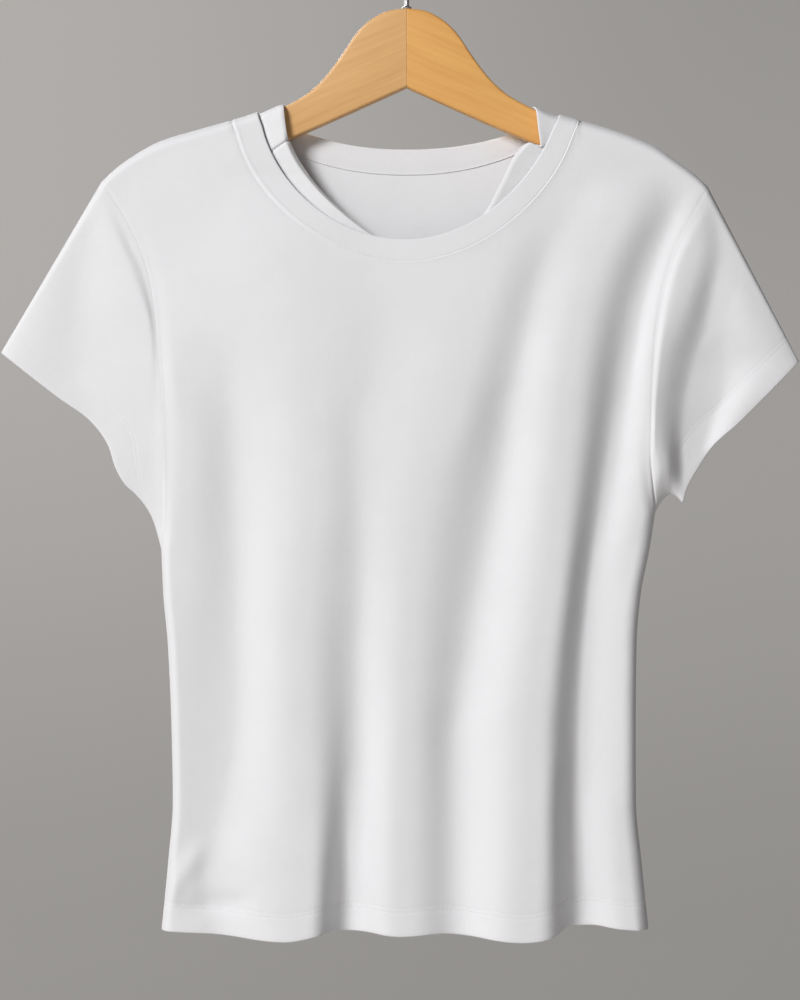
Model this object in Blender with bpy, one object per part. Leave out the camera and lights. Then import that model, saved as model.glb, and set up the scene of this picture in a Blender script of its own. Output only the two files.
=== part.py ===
"""Crew neck t-shirt hanging on a wooden hanger.

Metres, +Z up. The origin is the inner top of the hanger's hook, the shirt's front faces -Y
and +X is the viewer's right. The tables hold millimetres: "drop" is how far a point lies
below the origin, "across" how far to the right of the middle, and "reach" how far from the
middle to either side. Each cloth piece is one wall through a grid of such points: its
distance from the shirt's middle plane (its depth) is worked out from them by cloth_depth.
"""
import math
from collections import namedtuple

import bpy
import numpy as np

MM = 0.001

# ---------------------------------------------------------------- driving sizes, millimetres

SEAM_GAP = 0.3            # between pieces that are sewn or glued together
CLOTH = 1.2               # wall of a single layer of jersey
HEM_CLOTH = 2.0           # wall where the hem is turned up
HEM_HEIGHT = 20.0
HEM_STEP = 0.8            # the wall thins from the hem to a single layer over twice this
CUFF_HEM = 18.0
NECK_SEAM_GAP = 0.4
BAND = 1.8                # folded rib of the neckband
BAND_PROUD = 0.35         # how far the neckband stands out from the panels
FACING_GAP = 0.7          # between the neckband and the facing under it

NECK_LEAN = 2.0           # the neck seams lean out by this over the top of the shoulders
NECK_LEAN_HEIGHT = 12.0
HEM_DROP = {"front": 749.5, "back": 745.0}
HEM_SIDE_DROP = 748.0     # where both hems meet at the side seams
HEM_LIFT = {"front": 0.30, "back": 0.20}        # share of a fold's depth that moves the hem

SADDLE_DEPTH = 10.0       # from the middle plane to the cloth beside the hanger's arm
SADDLE_HEIGHT = 7.0       # height over which the cloth rounds over the arm
SADDLE_FADE = 45.0        # below the shoulder the body's own depth takes over in this height
SIDE_OPENS = 0.3          # rise over which the side seam's edge opens into the armhole's
CREASE_FALL = 1.4         # how steeply a crease fades towards its half width

ARM_THICKNESS = 12.0
ARM_JOINT = 0.5           # the joint between the halves, right of the middle
ARM_TOP_ROUND = {"middle": 2.5, "shoulder": 5.9}      # rounding of the wood's top edges
ARM_LOW_ROUND = 2.5
ARM_GROW = 90.0           # the rounding grows to its full size over this reach

WIRE = 3.6                # diameter of the hook's wire
HOOK_INNER = 38.0         # inner diameter of the hook
HOOK_BEND = 14.0          # radius of the bend between the stem and the hook's arc
HOOK_END = 200.0          # angle where the hook's arc ends, degrees
HOOK_TURN = 12.0          # angle between two sections of the wire, degrees
COLLAR_RADIUS = 3.6
COLLAR_HEIGHT = 1.6
COLLAR_SLOPE = 0.4

SHOULDER_COLUMNS = 7      # grid columns over one shoulder
NECK_COLUMNS = 9          # grid columns over half of the neck
BODY_ROWS = 11            # grid rows from the hem's fold to the underarm
YOKE_ROWS = 13            # grid rows from the underarm to the shoulder
SLEEVE_ROWS = 7
BAND_ROWS = 3
HALVES = ("left", "right")
FACE_SIGN = {"front": -1.0, "back": 1.0}

Side = namedtuple("Side", "drop left right")
SIDES = (                 # reach of the side seams
    Side(440, 178.9, 182.5),
    Side(472, 178.1, 177.2),
    Side(505, 176.7, 170.8),
    Side(540, 173.5, 167.9),
    Side(600, 170.8, 167.2),
    Side(655, 169.8, 167.4),
    Side(700, 173.2, 171.5),
    Side(753, 178.4, 177.0),
)

Armhole = namedtuple("Armhole", "rise left right")
ARMHOLES = (              # reach of the armhole seams, from the underarm (0) to the shoulder (1)
    Armhole(0.00, 178.1, 181.4),
    Armhole(0.07, 176.6, 179.4),
    Armhole(0.18, 176.2, 177.2),
    Armhole(0.33, 176.9, 177.4),
    Armhole(0.45, 178.3, 178.8),
    Armhole(0.55, 180.4, 180.6),
    Armhole(0.65, 182.8, 183.8),
    Armhole(0.72, 185.6, 187.6),
    Armhole(0.80, 191.5, 193.5),
    Armhole(0.88, 201.0, 203.0),
    Armhole(0.94, 210.4, 211.6),
    Armhole(1.00, 221.9, 219.6),
)
UNDERARM = {"left": 472.0, "right": 445.0}      # drop of the underarm points

Shoulder = namedtuple("Shoulder", "reach left right")
SHOULDERS = (             # drop of the cloth's top line
    Shoulder(0, 136.0, 136.0),
    Shoulder(90, 145.6, 145.9),
    Shoulder(107, 152.5, 153.4),
    Shoulder(124, 158.2, 158.5),
    Shoulder(150, 165.6, 166.0),
    Shoulder(179, 174.4, 177.2),
    Shoulder(199, 185.3, 190.4),
    Shoulder(212, 194.8, 200.2),
    Shoulder(222, 204.4, 209.8),
)

# A neck edge falls from the shoulder line at its reach to its lowest point: "fall" and
# "round" are the powers of the curve down and across.
NeckEdge = namedtuple("NeckEdge", "left right low fall_left fall_right round bunch")
FRONT_SEAM = NeckEdge(124.8, 123.6, 263.4, 1.70, 1.52, 1.9, 1.7)
FRONT_FREE = NeckEdge(107.0, 110.5, 247.8, 1.70, 1.40, 2.0, 1.7)
BACK_SEAM = NeckEdge(124.8, 123.6, 197.4, 1.0, 1.0, 2.2, 1.0)
BACK_FREE = NeckEdge(107.0, 110.5, 179.6, 1.0, 1.0, 2.2, 1.0)

Depth = namedtuple("Depth", "drop front back")
DEPTHS = (                # the cloth's depth at the middle of the body
    Depth(150, 10.0, 10.0),
    Depth(200, 12.0, 12.0),
    Depth(262, 18.0, 14.5),
    Depth(340, 23.0, 18.0),
    Depth(472, 26.0, 22.0),
    Depth(600, 27.0, 22.0),
    Depth(680, 30.0, 25.0),
    Depth(753, 35.0, 30.0),
)

# A crease is a trough (negative depth) or a ridge that runs down the cloth. Each row is one
# section of it: where its middle lies, its half width and its depth there.
Crease = namedtuple("Crease", "drop across half depth")
FRONT_CREASES = (
    (   # the deep trough from the right shoulder down to the hem
        Crease(205, 182, 12, 0),
        Crease(240, 163, 15, -4),
        Crease(290, 147, 18, -7),
        Crease(400, 133, 20, -8),
        Crease(545, 120, 20, -9),
        Crease(650, 111, 19, -11),
        Crease(753, 117, 17, -15),
    ),
    (   # the soft trough from the right of the neck, slanting to the middle
        Crease(255, 92, 14, 0),
        Crease(345, 58, 22, -5),
        Crease(455, 46, 22, -6),
        Crease(580, 22, 20, -5),
        Crease(690, 18, 18, -4),
        Crease(753, 21, 18, -4),
    ),
    (   # the trough left of the middle, narrow and deep at the hem
        Crease(300, -78, 16, 0),
        Crease(400, -52, 20, -3),
        Crease(500, -55, 20, -5),
        Crease(650, -54, 17, -7),
        Crease(753, -52, 17, -11),
    ),
    (   # the wide shallow trough down the left
        Crease(290, -140, 22, 0),
        Crease(400, -144, 22, -3),
        Crease(530, -146, 20, -4),
        Crease(640, -150, 16, -2),
        Crease(700, -150, 14, 0),
    ),
    (   # the ridge between the left troughs
        Crease(330, -95, 24, 0),
        Crease(450, -100, 26, 3),
        Crease(620, -98, 24, 4),
        Crease(753, -88, 22, 9),
    ),
    (   # the ridge right of the middle
        Crease(420, 92, 22, 0),
        Crease(540, 80, 22, 4),
        Crease(650, 76, 22, 6),
        Crease(753, 84, 24, 10),
    ),
    (   # the crease at the lower left corner
        Crease(660, -160, 10, 0),
        Crease(700, -146, 14, -3),
        Crease(753, -128, 16, -4),
    ),
)
BACK_CREASES = (
    (   # from the left shoulder down to the hem
        Crease(215, -176, 12, 0),
        Crease(270, -150, 18, -5),
        Crease(400, -128, 20, -7),
        Crease(560, -112, 20, -8),
        Crease(753, -104, 18, -12),
    ),
    (   # below the neck, slanting to the right
        Crease(225, 20, 18, 0),
        Crease(330, 34, 24, -4),
        Crease(480, 40, 22, -5),
        Crease(640, 52, 20, -6),
        Crease(753, 58, 18, -9),
    ),
    (   # down the right
        Crease(280, 150, 16, 0),
        Crease(420, 138, 20, -4),
        Crease(600, 130, 18, -4),
        Crease(720, 128, 16, 0),
    ),
    (   # the ridge left of the middle
        Crease(380, -50, 24, 0),
        Crease(560, -44, 26, 4),
        Crease(753, -38, 24, 8),
    ),
    (   # the ridge at the right of the hem
        Crease(600, 100, 20, 0),
        Crease(753, 98, 20, 7),
    ),
)

Cuff = namedtuple("Cuff", "along left left_drop right right_drop")
CUFFS = (                 # edge of the cuffs, from the top fold (0) to under the arm (1)
    Cuff(0.00, 294.9, 327.7, 286.2, 334.2),
    Cuff(0.32, 252.6, 360.5, 261.7, 359.0),
    Cuff(0.50, 229.6, 377.3, 241.2, 379.5),
    Cuff(0.66, 216.1, 395.6, 224.8, 394.0),
    Cuff(0.78, 210.6, 412.3, 212.4, 412.3),
    Cuff(0.90, 201.8, 426.6, 204.4, 426.6),
    Cuff(1.00, 187.2, 437.2, 201.3, 436.9),
)
CUFF_DEPTH = {"front": 15.0, "back": 11.0}
SLEEVE_PUFF = 4.0         # extra depth of the sleeve between armhole and cuff
UNDERARM_TUCK = {"left": 0.0, "right": 9.0}     # the seam under the arm is folded up by this

Facing = namedtuple("Facing", "column left left_drop right right_drop")
FACINGS = (               # inner edge of the neck facing, from the arm's top (0) to the middle
    Facing(0, 89.8, 145.6, 94.5, 147.7),
    Facing(1, 89.7, 146.6, 94.7, 148.7),
    Facing(2, 89.5, 149.6, 95.0, 151.7),
    Facing(3, 89.0, 155.5, 95.6, 157.5),
    Facing(4, 86.5, 172.0, 93.5, 174.5),
    Facing(5, 74.5, 196.5, 77.5, 189.0),
    Facing(6, 56.5, 218.0, 69.0, 206.5),
    Facing(7, 35.5, 235.5, 54.0, 232.0),
    Facing(8, 17.0, 247.0, 29.0, 247.5),
    Facing(9, 0.0, 250.5, 0.0, 250.5),
)

Arm = namedtuple("Arm", "reach top bottom")
ARM = (                   # outline of one half of the hanger
    Arm(0.0, 77.3, 135.0),
    Arm(12.4, 78.9, 140.6),
    Arm(23.4, 83.8, 145.6),
    Arm(31.4, 90.0, 149.2),
    Arm(38.0, 97.3, 152.2),
    Arm(44.5, 107.2, 155.1),
    Arm(51.1, 116.7, 158.0),
    Arm(58.4, 126.2, 161.3),
    Arm(65.7, 134.0, 164.5),
    Arm(75.2, 141.5, 168.5),
    Arm(89.8, 149.5, 174.8),
    Arm(107.0, 157.9, 181.8),
    Arm(125.0, 162.6, 188.4),
    Arm(150.0, 168.6, 196.6),
    Arm(179.0, 179.6, 205.6),
    Arm(199.0, 192.6, 212.2),
    Arm(213.0, 204.5, 216.6),
)


# ---------------------------------------------------------------- reading the tables

def read(rows, at, column):
    """Smooth value of a table's column at places along its first column, with no overshoot."""
    at = np.asarray(at, dtype=float)
    keys = np.array([row[0] for row in rows], dtype=float)
    values = np.array([getattr(row, column) for row in rows], dtype=float)
    steps = np.diff(keys)
    slopes = np.diff(values) / steps
    tangents = np.empty(len(keys))
    tangents[0], tangents[-1] = slopes[0], slopes[-1]
    before, after = slopes[:-1], slopes[1:]
    same_way = before * after > 0
    total = np.where(same_way, before + after, 1.0)
    tangents[1:-1] = np.where(same_way, 2.0 * before * after / total, 0.0)
    place = np.clip(at, keys[0], keys[-1])
    i = np.clip(np.searchsorted(keys, place, side="right") - 1, 0, len(keys) - 2)
    t = (place - keys[i]) / steps[i]
    rise = t * t * (3.0 - 2.0 * t)
    return (values[i] * (1.0 - rise) + values[i + 1] * rise
            + steps[i] * t * (1.0 - t) * (tangents[i] * (1.0 - t) - tangents[i + 1] * t))


def read_sides(rows, at, across):
    """A table's value from its left column left of the middle and its right column right of it."""
    return np.where(across < 0, read(rows, at, "left"), read(rows, at, "right"))


def ease(share):
    """0 to 1 with soft ends."""
    share = np.clip(share, 0.0, 1.0)
    return share * share * (3.0 - 2.0 * share)


# ---------------------------------------------------------------- the shirt's form

def shoulder_line(across):
    """Drop of the cloth's top line."""
    return read_sides(SHOULDERS, np.abs(across), across)


def shoulder_point(half):
    """Reach and drop of the point where the armhole meets the shoulder."""
    reach = getattr(ARMHOLES[-1], half)
    return reach, float(read(SHOULDERS, reach, half))


def underarm_drop(across):
    return np.where(across < 0, UNDERARM["left"], UNDERARM["right"])


def shoulder_drop(across):
    return np.where(across < 0, shoulder_point("left")[1], shoulder_point("right")[1])


def rise_at(across, drop):
    """Share of the way from the underarm up to the shoulder point."""
    low = underarm_drop(across)
    return np.clip((low - drop) / (low - shoulder_drop(across)), 0.0, 1.0)


def panel_reach(across, drop):
    """Reach of a panel's edge: the side seam, and above the underarm the armhole seam."""
    rise = rise_at(across, drop)
    return np.where(rise > 0, read_sides(ARMHOLES, rise, across), read_sides(SIDES, drop, across))


def crease_depth(creases, across, drop):
    """Sum of all creases at a point."""
    total = np.zeros_like(across)
    for crease in creases:
        middle = read(crease, drop, "across")
        half = read(crease, drop, "half")
        depth = read(crease, drop, "depth")
        inside = drop >= crease[0].drop
        off = (across - middle) / half
        total += np.where(inside, depth, 0.0) * np.exp(-off * off * CREASE_FALL)
    return total


def cloth_depth(face, across, drop):
    """Distance of a panel's outer surface from the middle plane."""
    across = np.asarray(across, dtype=float)
    drop = np.asarray(drop, dtype=float)
    below = np.maximum(drop - shoulder_line(across), 0.0)
    share = np.clip(np.abs(across) / panel_reach(across, drop), 0.0, 1.0)
    rise = rise_at(across, drop)
    saddle = SADDLE_DEPTH * np.sqrt(1.0 - (1.0 - np.minimum(below / SADDLE_HEIGHT, 1.0)) ** 2)
    round_side = np.sqrt(1.0 - share * share)
    opened = np.minimum(rise / SIDE_OPENS, 1.0)
    open_side = np.sqrt(1.0 - (1.0 - opened) ** 2)
    edge = round_side + (1.0 - round_side) * open_side
    bulge = read(DEPTHS, drop, face) - SADDLE_DEPTH
    flatter = (1.0 - share * share) ** (0.5 + 0.5 * ease(opened))
    creases = FRONT_CREASES if face == "front" else BACK_CREASES
    folds = crease_depth(creases, across, drop)
    return saddle * edge + (bulge + folds) * flatter * ease(below / SADDLE_FADE)


def outward(face, across, drop):
    """Unit vectors that point out of the cloth, from the slope of its depth."""
    step = 0.5
    slope_across = (cloth_depth(face, across + step, drop)
                    - cloth_depth(face, across - step, drop)) / (2.0 * step)
    slope_down = (cloth_depth(face, across, drop + step)
                  - cloth_depth(face, across, drop - step)) / (2.0 * step)
    way = np.full_like(slope_down, FACE_SIGN[face])
    return unit(np.stack([-slope_across, way, slope_down], axis=-1))


def points_on(face, across, drop):
    """Outer points of a panel's surface."""
    depth = cloth_depth(face, across, drop) + SEAM_GAP / 2.0
    return np.stack([across, FACE_SIGN[face] * depth, -drop], axis=-1)


def neck_points(edge, columns):
    """Across and drop of a neck edge, from the left corner to the right one."""
    share = np.arange(columns + 1) / columns
    turn = math.pi / 2.0 * share ** edge.bunch
    left = _neck_half(edge, "left", turn)
    right = _neck_half(edge, "right", turn)
    across = np.concatenate([-left[0], right[0][-2::-1]])
    drop = np.concatenate([left[1], right[1][-2::-1]])
    return across, drop


def _neck_half(edge, half, turn):
    reach = getattr(edge, half)
    start = float(read(SHOULDERS, reach, half))
    fall = getattr(edge, "fall_" + half)
    below = (edge.low - start) * np.sin(turn) ** (2.0 / fall)
    lean = NECK_LEAN * np.maximum(1.0 - below / NECK_LEAN_HEIGHT, 0.0)
    start_lean = float(read(SHOULDERS, reach + NECK_LEAN, half)) - start
    return (reach * np.maximum(np.cos(turn), 0.0) ** (2.0 / edge.round) + lean,
            start + below + start_lean * lean / NECK_LEAN)


# ---------------------------------------------------------------- meshes

def add_mesh(name, points, faces, surface, smooth_angle=40.0):
    """One object from millimetre points, with its faces turned outwards."""
    mesh = bpy.data.meshes.new(name)
    mesh.from_pydata([tuple(float(c) * MM for c in point) for point in points], [], faces)
    mesh.materials.append(surface)
    mesh.shade_smooth()
    mesh.set_sharp_from_angle(angle=math.radians(smooth_angle))
    thing = bpy.data.objects.new(name, mesh)
    bpy.context.scene.collection.objects.link(thing)
    return thing


def signed_volume(points, faces):
    total = 0.0
    for face in faces:
        a = points[face[0]]
        for k in range(1, len(face) - 1):
            total += float(np.dot(a, np.cross(points[face[k]], points[face[k + 1]])))
    return total / 6.0


def wall(name, outer, inner, surface, closed=False):
    """A closed wall between two grids of points; a closed one joins its last column to its first."""
    rows, columns = outer.shape[:2]
    points = np.concatenate([outer.reshape(-1, 3), inner.reshape(-1, 3)])
    far = rows * columns

    def at(row, column, layer):
        return layer * far + row * columns + column % columns

    faces = []
    for row in range(rows - 1):
        for column in range(columns if closed else columns - 1):
            corner = [(row, column), (row, column + 1), (row + 1, column + 1), (row + 1, column)]
            faces.append([at(r, c, 0) for r, c in corner])
            faces.append([at(r, c, 1) for r, c in reversed(corner)])
    rims = []
    for row, flip in ((0, False), (rows - 1, True)):
        for column in range(columns if closed else columns - 1):
            rims.append(((row, column), (row, column + 1), flip))
    if not closed:
        for column, flip in ((0, True), (columns - 1, False)):
            for row in range(rows - 1):
                rims.append(((row, column), (row + 1, column), flip))
    for start, end, flip in rims:
        rim = [at(*end, 0), at(*start, 0), at(*start, 1), at(*end, 1)]
        faces.append(rim[::-1] if flip else rim)
    if signed_volume(points, faces) < 0:
        faces = [face[::-1] for face in faces]
    return add_mesh(name, points, faces, surface)


def make_material(name, colour, roughness, metallic=0.0):
    made = bpy.data.materials.new(name)
    made.use_nodes = True
    shader = made.node_tree.nodes["Principled BSDF"]
    shader.inputs["Base Color"].default_value = (*colour, 1.0)
    shader.inputs["Roughness"].default_value = roughness
    shader.inputs["Metallic"].default_value = metallic
    made.diffuse_color = (*colour, 1.0)
    return made


# ---------------------------------------------------------------- front and back

def yoke_rises():
    """Rises of the rows from the underarm to the shoulder, closer together at both ends."""
    share = (np.arange(YOKE_ROWS + 1) / YOKE_ROWS) ** 1.35
    return 1.0 - (1.0 - share) ** 2.4


def hem_drop(face, across):
    """Drop of the hem's edge, which the folds lift and lower."""
    creases = FRONT_CREASES if face == "front" else BACK_CREASES
    low = np.full_like(across, SIDES[-1].drop)
    share = np.clip(np.abs(across) / panel_reach(across, low), 0.0, 1.0)
    lift = HEM_LIFT[face] * crease_depth(creases, across, low) * (1.0 - share ** 4)
    return HEM_DROP[face] + lift + (HEM_SIDE_DROP - HEM_DROP[face]) * share ** 6


def panel_grid(face):
    """Across and drop of a panel's points: rows from the hem up, columns from left to right."""
    seam = FRONT_SEAM if face == "front" else BACK_SEAM
    neck_across, neck_drop = neck_points(seam, NECK_COLUMNS)
    part = np.arange(SHOULDER_COLUMNS) / SHOULDER_COLUMNS
    left_reach = shoulder_point("left")[0]
    left = -left_reach + (left_reach + neck_across[0]) * part
    right_reach = shoulder_point("right")[0]
    right = (right_reach - (right_reach - neck_across[-1]) * part)[::-1]
    top_across = np.concatenate([left, neck_across, right])
    top_drop = np.concatenate([shoulder_line(left), neck_drop, shoulder_line(right)])

    count = len(top_across)
    body_share = -np.cos(math.pi * np.arange(count) / (count - 1))
    underarm = np.interp(body_share, (-1.0, 1.0), (UNDERARM["left"], UNDERARM["right"]))
    rows_across, rows_drop = [], []

    def body_row(drop):
        rows_across.append(body_share * read_sides(SIDES, drop, body_share))
        rows_drop.append(drop)

    hem = hem_drop(face, body_share * SIDES[-1].left)
    body_row(hem)
    body_row(hem - HEM_HEIGHT + HEM_STEP)
    body_row(hem - HEM_HEIGHT - HEM_STEP)
    for k in range(1, BODY_ROWS):
        share = k / BODY_ROWS
        body_row((hem - HEM_HEIGHT) * (1.0 - share) + underarm * share)
    low_across = body_share * read_sides(ARMHOLES, np.zeros(count), body_share)
    for rise in yoke_rises():
        fan = ease(rise)
        across = low_across * (1.0 - fan) + top_across * fan
        seam = read_sides(ARMHOLES, np.full(count, rise), body_share)
        off_seam = seam - np.abs(np.where(body_share < 0, across[0], across[-1]))
        rows_across.append(across + np.sign(body_share) * off_seam * body_share ** 16)
        rows_drop.append(underarm + (top_drop - underarm) * rise)
    return np.array(rows_across), np.array(rows_drop)


def make_panel(name, face, cloth):
    across, drop = panel_grid(face)
    outer = points_on(face, across, drop)
    normal = outward(face, across, drop)
    yoke_start = len(across) - YOKE_ROWS - 1
    shoulder = [c for c in range(across.shape[1])
                if c <= SHOULDER_COLUMNS or c >= across.shape[1] - 1 - SHOULDER_COLUMNS]
    for column in shoulder:
        normal[-1, column] = upright(normal[-1, column])
    for row in range(yoke_start + 1):
        normal[row, 0] = upright(normal[row, 0])
        normal[row, -1] = upright(normal[row, -1])
    thickness = np.full(across.shape, CLOTH)
    thickness[:2] = HEM_CLOTH
    inner = outer - normal * thickness[..., None]
    wall(name, outer, inner, cloth)


def upright(normal):
    """A normal turned into the middle plane, where the front's wall meets the back's."""
    return unit(normal * (1.0, 0.0, 1.0))


# ---------------------------------------------------------------- sleeves

def armhole_points(half):
    """Rise, signed across and drop along an armhole seam, from the shoulder down."""
    sign = -1.0 if half == "left" else 1.0
    rises = yoke_rises()[::-1]
    drop = UNDERARM[half] + (shoulder_point(half)[1] - UNDERARM[half]) * rises
    return rises, sign * read(ARMHOLES, rises, half), drop


def sleeve_sheet(half, face, shares):
    """Points of a sleeve's front or back, rows from its armhole (0) to its cuff (1)."""
    rises, seam_across, seam_drop = armhole_points(half)
    along = 1.0 - rises
    cuff_across = np.sign(seam_across) * read(CUFFS, along, half)
    cuff_drop = read(CUFFS, along, half + "_drop")
    across = seam_across * (1.0 - shares) + cuff_across * shares
    middle = 4.0 * shares * (1.0 - shares)
    drop = seam_drop * (1.0 - shares) + cuff_drop * shares
    drop = drop - UNDERARM_TUCK[half] * middle * along ** 6
    arc = (4.0 * along * (1.0 - along)) ** 0.4
    depth = (cloth_depth(face, seam_across, seam_drop) * (1.0 - shares)
             + (CUFF_DEPTH[face] * shares + SLEEVE_PUFF * middle) * arc)
    return np.stack([across, FACE_SIGN[face] * depth, -drop], axis=-1)


def sleeve_shares(half):
    """Shares of a sleeve's rows: even ones to the hem's fold line, then the hem."""
    rises, seam_across, seam_drop = armhole_points(half)
    along = 1.0 - rises
    length = np.hypot(np.abs(seam_across) - read(CUFFS, along, half),
                      seam_drop - read(CUFFS, along, half + "_drop"))
    fold = 1.0 - np.minimum(CUFF_HEM / length, 0.5)
    rows = [fold * k / SLEEVE_ROWS for k in range(SLEEVE_ROWS)]
    return np.array(rows + [fold - 0.01, fold + 0.01, np.ones_like(fold)])


def around(front, back):
    """One closed ring of a front row from end to end and a back row on the way home."""
    return np.concatenate([front, back[..., -2:0:-1, :]], axis=-2)


def seam_normals(half):
    """Outward unit vectors around the armhole, shared with the panels' edges."""
    across, drop = armhole_points(half)[1:]
    front = outward("front", across, drop)
    front[0] = upright(front[0])
    front[-1] = upright(front[-1])
    return around(front, outward("back", across, drop))


def ring_normals(rings):
    """Outward unit vectors of a tube given as rings of points."""
    around = np.roll(rings, -1, axis=1) - np.roll(rings, 1, axis=1)
    along = np.gradient(rings, axis=0)
    normal = np.cross(around, along)
    normal /= np.linalg.norm(normal, axis=-1, keepdims=True)
    middle = rings.mean(axis=1, keepdims=True)
    if np.sum(normal * (rings - middle)) < 0:
        normal = -normal
    return normal


def unit(vectors):
    return vectors / np.linalg.norm(vectors, axis=-1, keepdims=True)


def open_seam(rings, normal, gap=SEAM_GAP):
    """Move the first of a closed piece's rings off the seam, square to it and to the normals.

    Where the seam turns a corner the point moves further, so that both runs keep the gap.
    """
    ahead = unit(np.roll(rings[0], -1, axis=0) - rings[0])
    behind = unit(rings[0] - np.roll(rings[0], 1, axis=0))
    away = unit(np.cross(normal, ahead + behind))
    away *= np.sign(np.sum(away * (rings[1] - rings[0]), axis=-1, keepdims=True))
    square = np.minimum(np.linalg.norm(np.cross(away, ahead), axis=-1),
                        np.linalg.norm(np.cross(away, behind), axis=-1))
    rings[0] += away * gap / np.maximum(square, 0.25)[:, None]


def make_sleeve(half, cloth):
    shares = sleeve_shares(half)
    rings = around(sleeve_sheet(half, "front", shares), sleeve_sheet(half, "back", shares))
    normal = ring_normals(rings)
    normal[0] = seam_normals(half)
    open_seam(rings, normal[0])
    thickness = np.full(rings.shape[:2], CLOTH)
    thickness[-2:] = HEM_CLOTH
    inner = rings - normal * thickness[..., None]
    wall("sleeve_" + half, rings, inner, cloth, closed=True)


# ---------------------------------------------------------------- neckband and neck facing

def make_neckband(rib):
    """One ring of folded rib between the neck seam and its own free edge."""
    sheets, normals = [], []
    for face, seam, free in (("front", FRONT_SEAM, FRONT_FREE), ("back", BACK_SEAM, BACK_FREE)):
        seam_across, seam_drop = neck_points(seam, NECK_COLUMNS)
        free_across, free_drop = neck_points(free, NECK_COLUMNS)
        share = (np.arange(BAND_ROWS + 1) / BAND_ROWS)[:, None]
        points, normal = saddle_strip(face, seam_across + (free_across - seam_across) * share,
                                      seam_drop + (free_drop - seam_drop) * share)
        sheets.append(points)
        normals.append(normal)
    outer = around(*sheets)
    normal = around(*normals)
    open_seam(outer, normal[0], NECK_SEAM_GAP)
    proud = np.array([0.0, BAND_PROUD, BAND_PROUD, 0.0])[:, None, None]
    under = np.array([CLOTH] + [BAND - BAND_PROUD] * BAND_ROWS)[:, None, None]
    wall("neckband", outer + normal * proud, outer - normal * under, rib, closed=True)


def saddle_strip(face, across, drop):
    """Points and normals of a strip whose two ends lie on the top line over the arms."""
    drop = np.maximum(drop, shoulder_line(across))
    for column in (0, -1):
        drop[:, column] = shoulder_line(across[:, column])
    points = points_on(face, across, drop)
    normal = outward(face, across, drop)
    for column in (0, -1):
        points[:, column, 1] = 0.0
        normal[:, column] = upright(normal[:, column])
    return points, normal


def make_facing(cloth):
    """The strip inside the front neckband, from the top of one arm to the top of the other."""
    seam_across, seam_drop = neck_points(FRONT_SEAM, NECK_COLUMNS)
    free_across, free_drop = neck_points(FRONT_FREE, NECK_COLUMNS)
    hidden_across = (seam_across + free_across) / 2.0
    hidden_drop = (seam_drop + free_drop) / 2.0
    side = np.arange(2 * NECK_COLUMNS + 1) - NECK_COLUMNS
    column = NECK_COLUMNS - np.abs(side)
    edge_across = np.sign(side) * read_sides(FACINGS, column, side)
    edge_drop = np.where(side < 0, read(FACINGS, column, "left_drop"),
                         read(FACINGS, column, "right_drop"))
    share = (np.arange(BAND_ROWS + 1) / BAND_ROWS)[:, None]
    surface, normal = saddle_strip("front", hidden_across + (edge_across - hidden_across) * share,
                                   hidden_drop + (edge_drop - hidden_drop) * share)
    under = BAND - BAND_PROUD + FACING_GAP
    wall("neck_facing", surface - normal * under, surface - normal * (under + CLOTH), cloth)


# ---------------------------------------------------------------- hanger

def arm_section(reach, sign):
    """Outline of the wood at one place: a rounded top, flat faces and a softly rounded bottom."""
    grown = float(ease(reach / ARM_GROW))
    top_round = (ARM_TOP_ROUND["middle"]
                 + (ARM_TOP_ROUND["shoulder"] - ARM_TOP_ROUND["middle"]) * grown)
    top = float(read(ARM, reach, "top")) + top_round
    bottom = float(read(ARM, reach, "bottom")) - ARM_LOW_ROUND
    half = ARM_THICKNESS / 2.0
    outline = []
    for drop, y, radius, start in (
            (top, top_round - half, top_round, 180.0),
            (top, half - top_round, top_round, 90.0),
            (bottom, half - ARM_LOW_ROUND, ARM_LOW_ROUND, 0.0),
            (bottom, ARM_LOW_ROUND - half, ARM_LOW_ROUND, -90.0)):
        for turn in (0.0, -30.0, -60.0, -90.0):
            angle = math.radians(start + turn)
            outline.append((ARM_JOINT + sign * reach, y + radius * math.cos(angle),
                            radius * math.sin(angle) - drop))
    return outline


def make_arm(half, wood):
    sign = -1.0 if half == "left" else 1.0
    reaches = [SEAM_GAP / 2.0, 6.0] + [row.reach for row in ARM[1:]]
    rings = np.array([arm_section(reach, sign) for reach in reaches])
    count = rings.shape[1]
    points = rings.reshape(-1, 3)
    faces = []
    for row in range(len(reaches) - 1):
        for k in range(count):
            a, b = row * count + k, row * count + (k + 1) % count
            faces.append([a, b, b + count, a + count])
    last = (len(reaches) - 1) * count
    faces.append(list(range(count))[::-1])
    faces.append([last + k for k in range(count)])
    if signed_volume(points, faces) < 0:
        faces = [face[::-1] for face in faces]
    add_mesh("hanger_arm_" + half, points, faces, wood, 30.0)


def hook_route():
    """Centre line of the wire: up the stem, a bend to the right, then over to the open end."""
    radius = (HOOK_INNER + WIRE) / 2.0
    centre = HOOK_INNER / 2.0
    bend_centre = centre + math.sqrt(radius * (radius + 2.0 * HOOK_BEND))
    meet = math.degrees(math.acos(HOOK_BEND / (radius + HOOK_BEND)))
    route = []
    for k in range(steps_in(meet) + 1):
        angle = math.radians(180.0 - meet * k / steps_in(meet))
        route.append((HOOK_BEND + HOOK_BEND * math.cos(angle),
                      bend_centre - HOOK_BEND * math.sin(angle)))
    arc = HOOK_END + meet
    for k in range(1, steps_in(arc) + 1):
        angle = math.radians(arc * k / steps_in(arc) - meet)
        route.append((radius * math.cos(angle), centre - radius * math.sin(angle)))
    return route


def steps_in(arc):
    """Number of even steps that an arc of so many degrees is made of."""
    return math.ceil(arc / HOOK_TURN)


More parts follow.
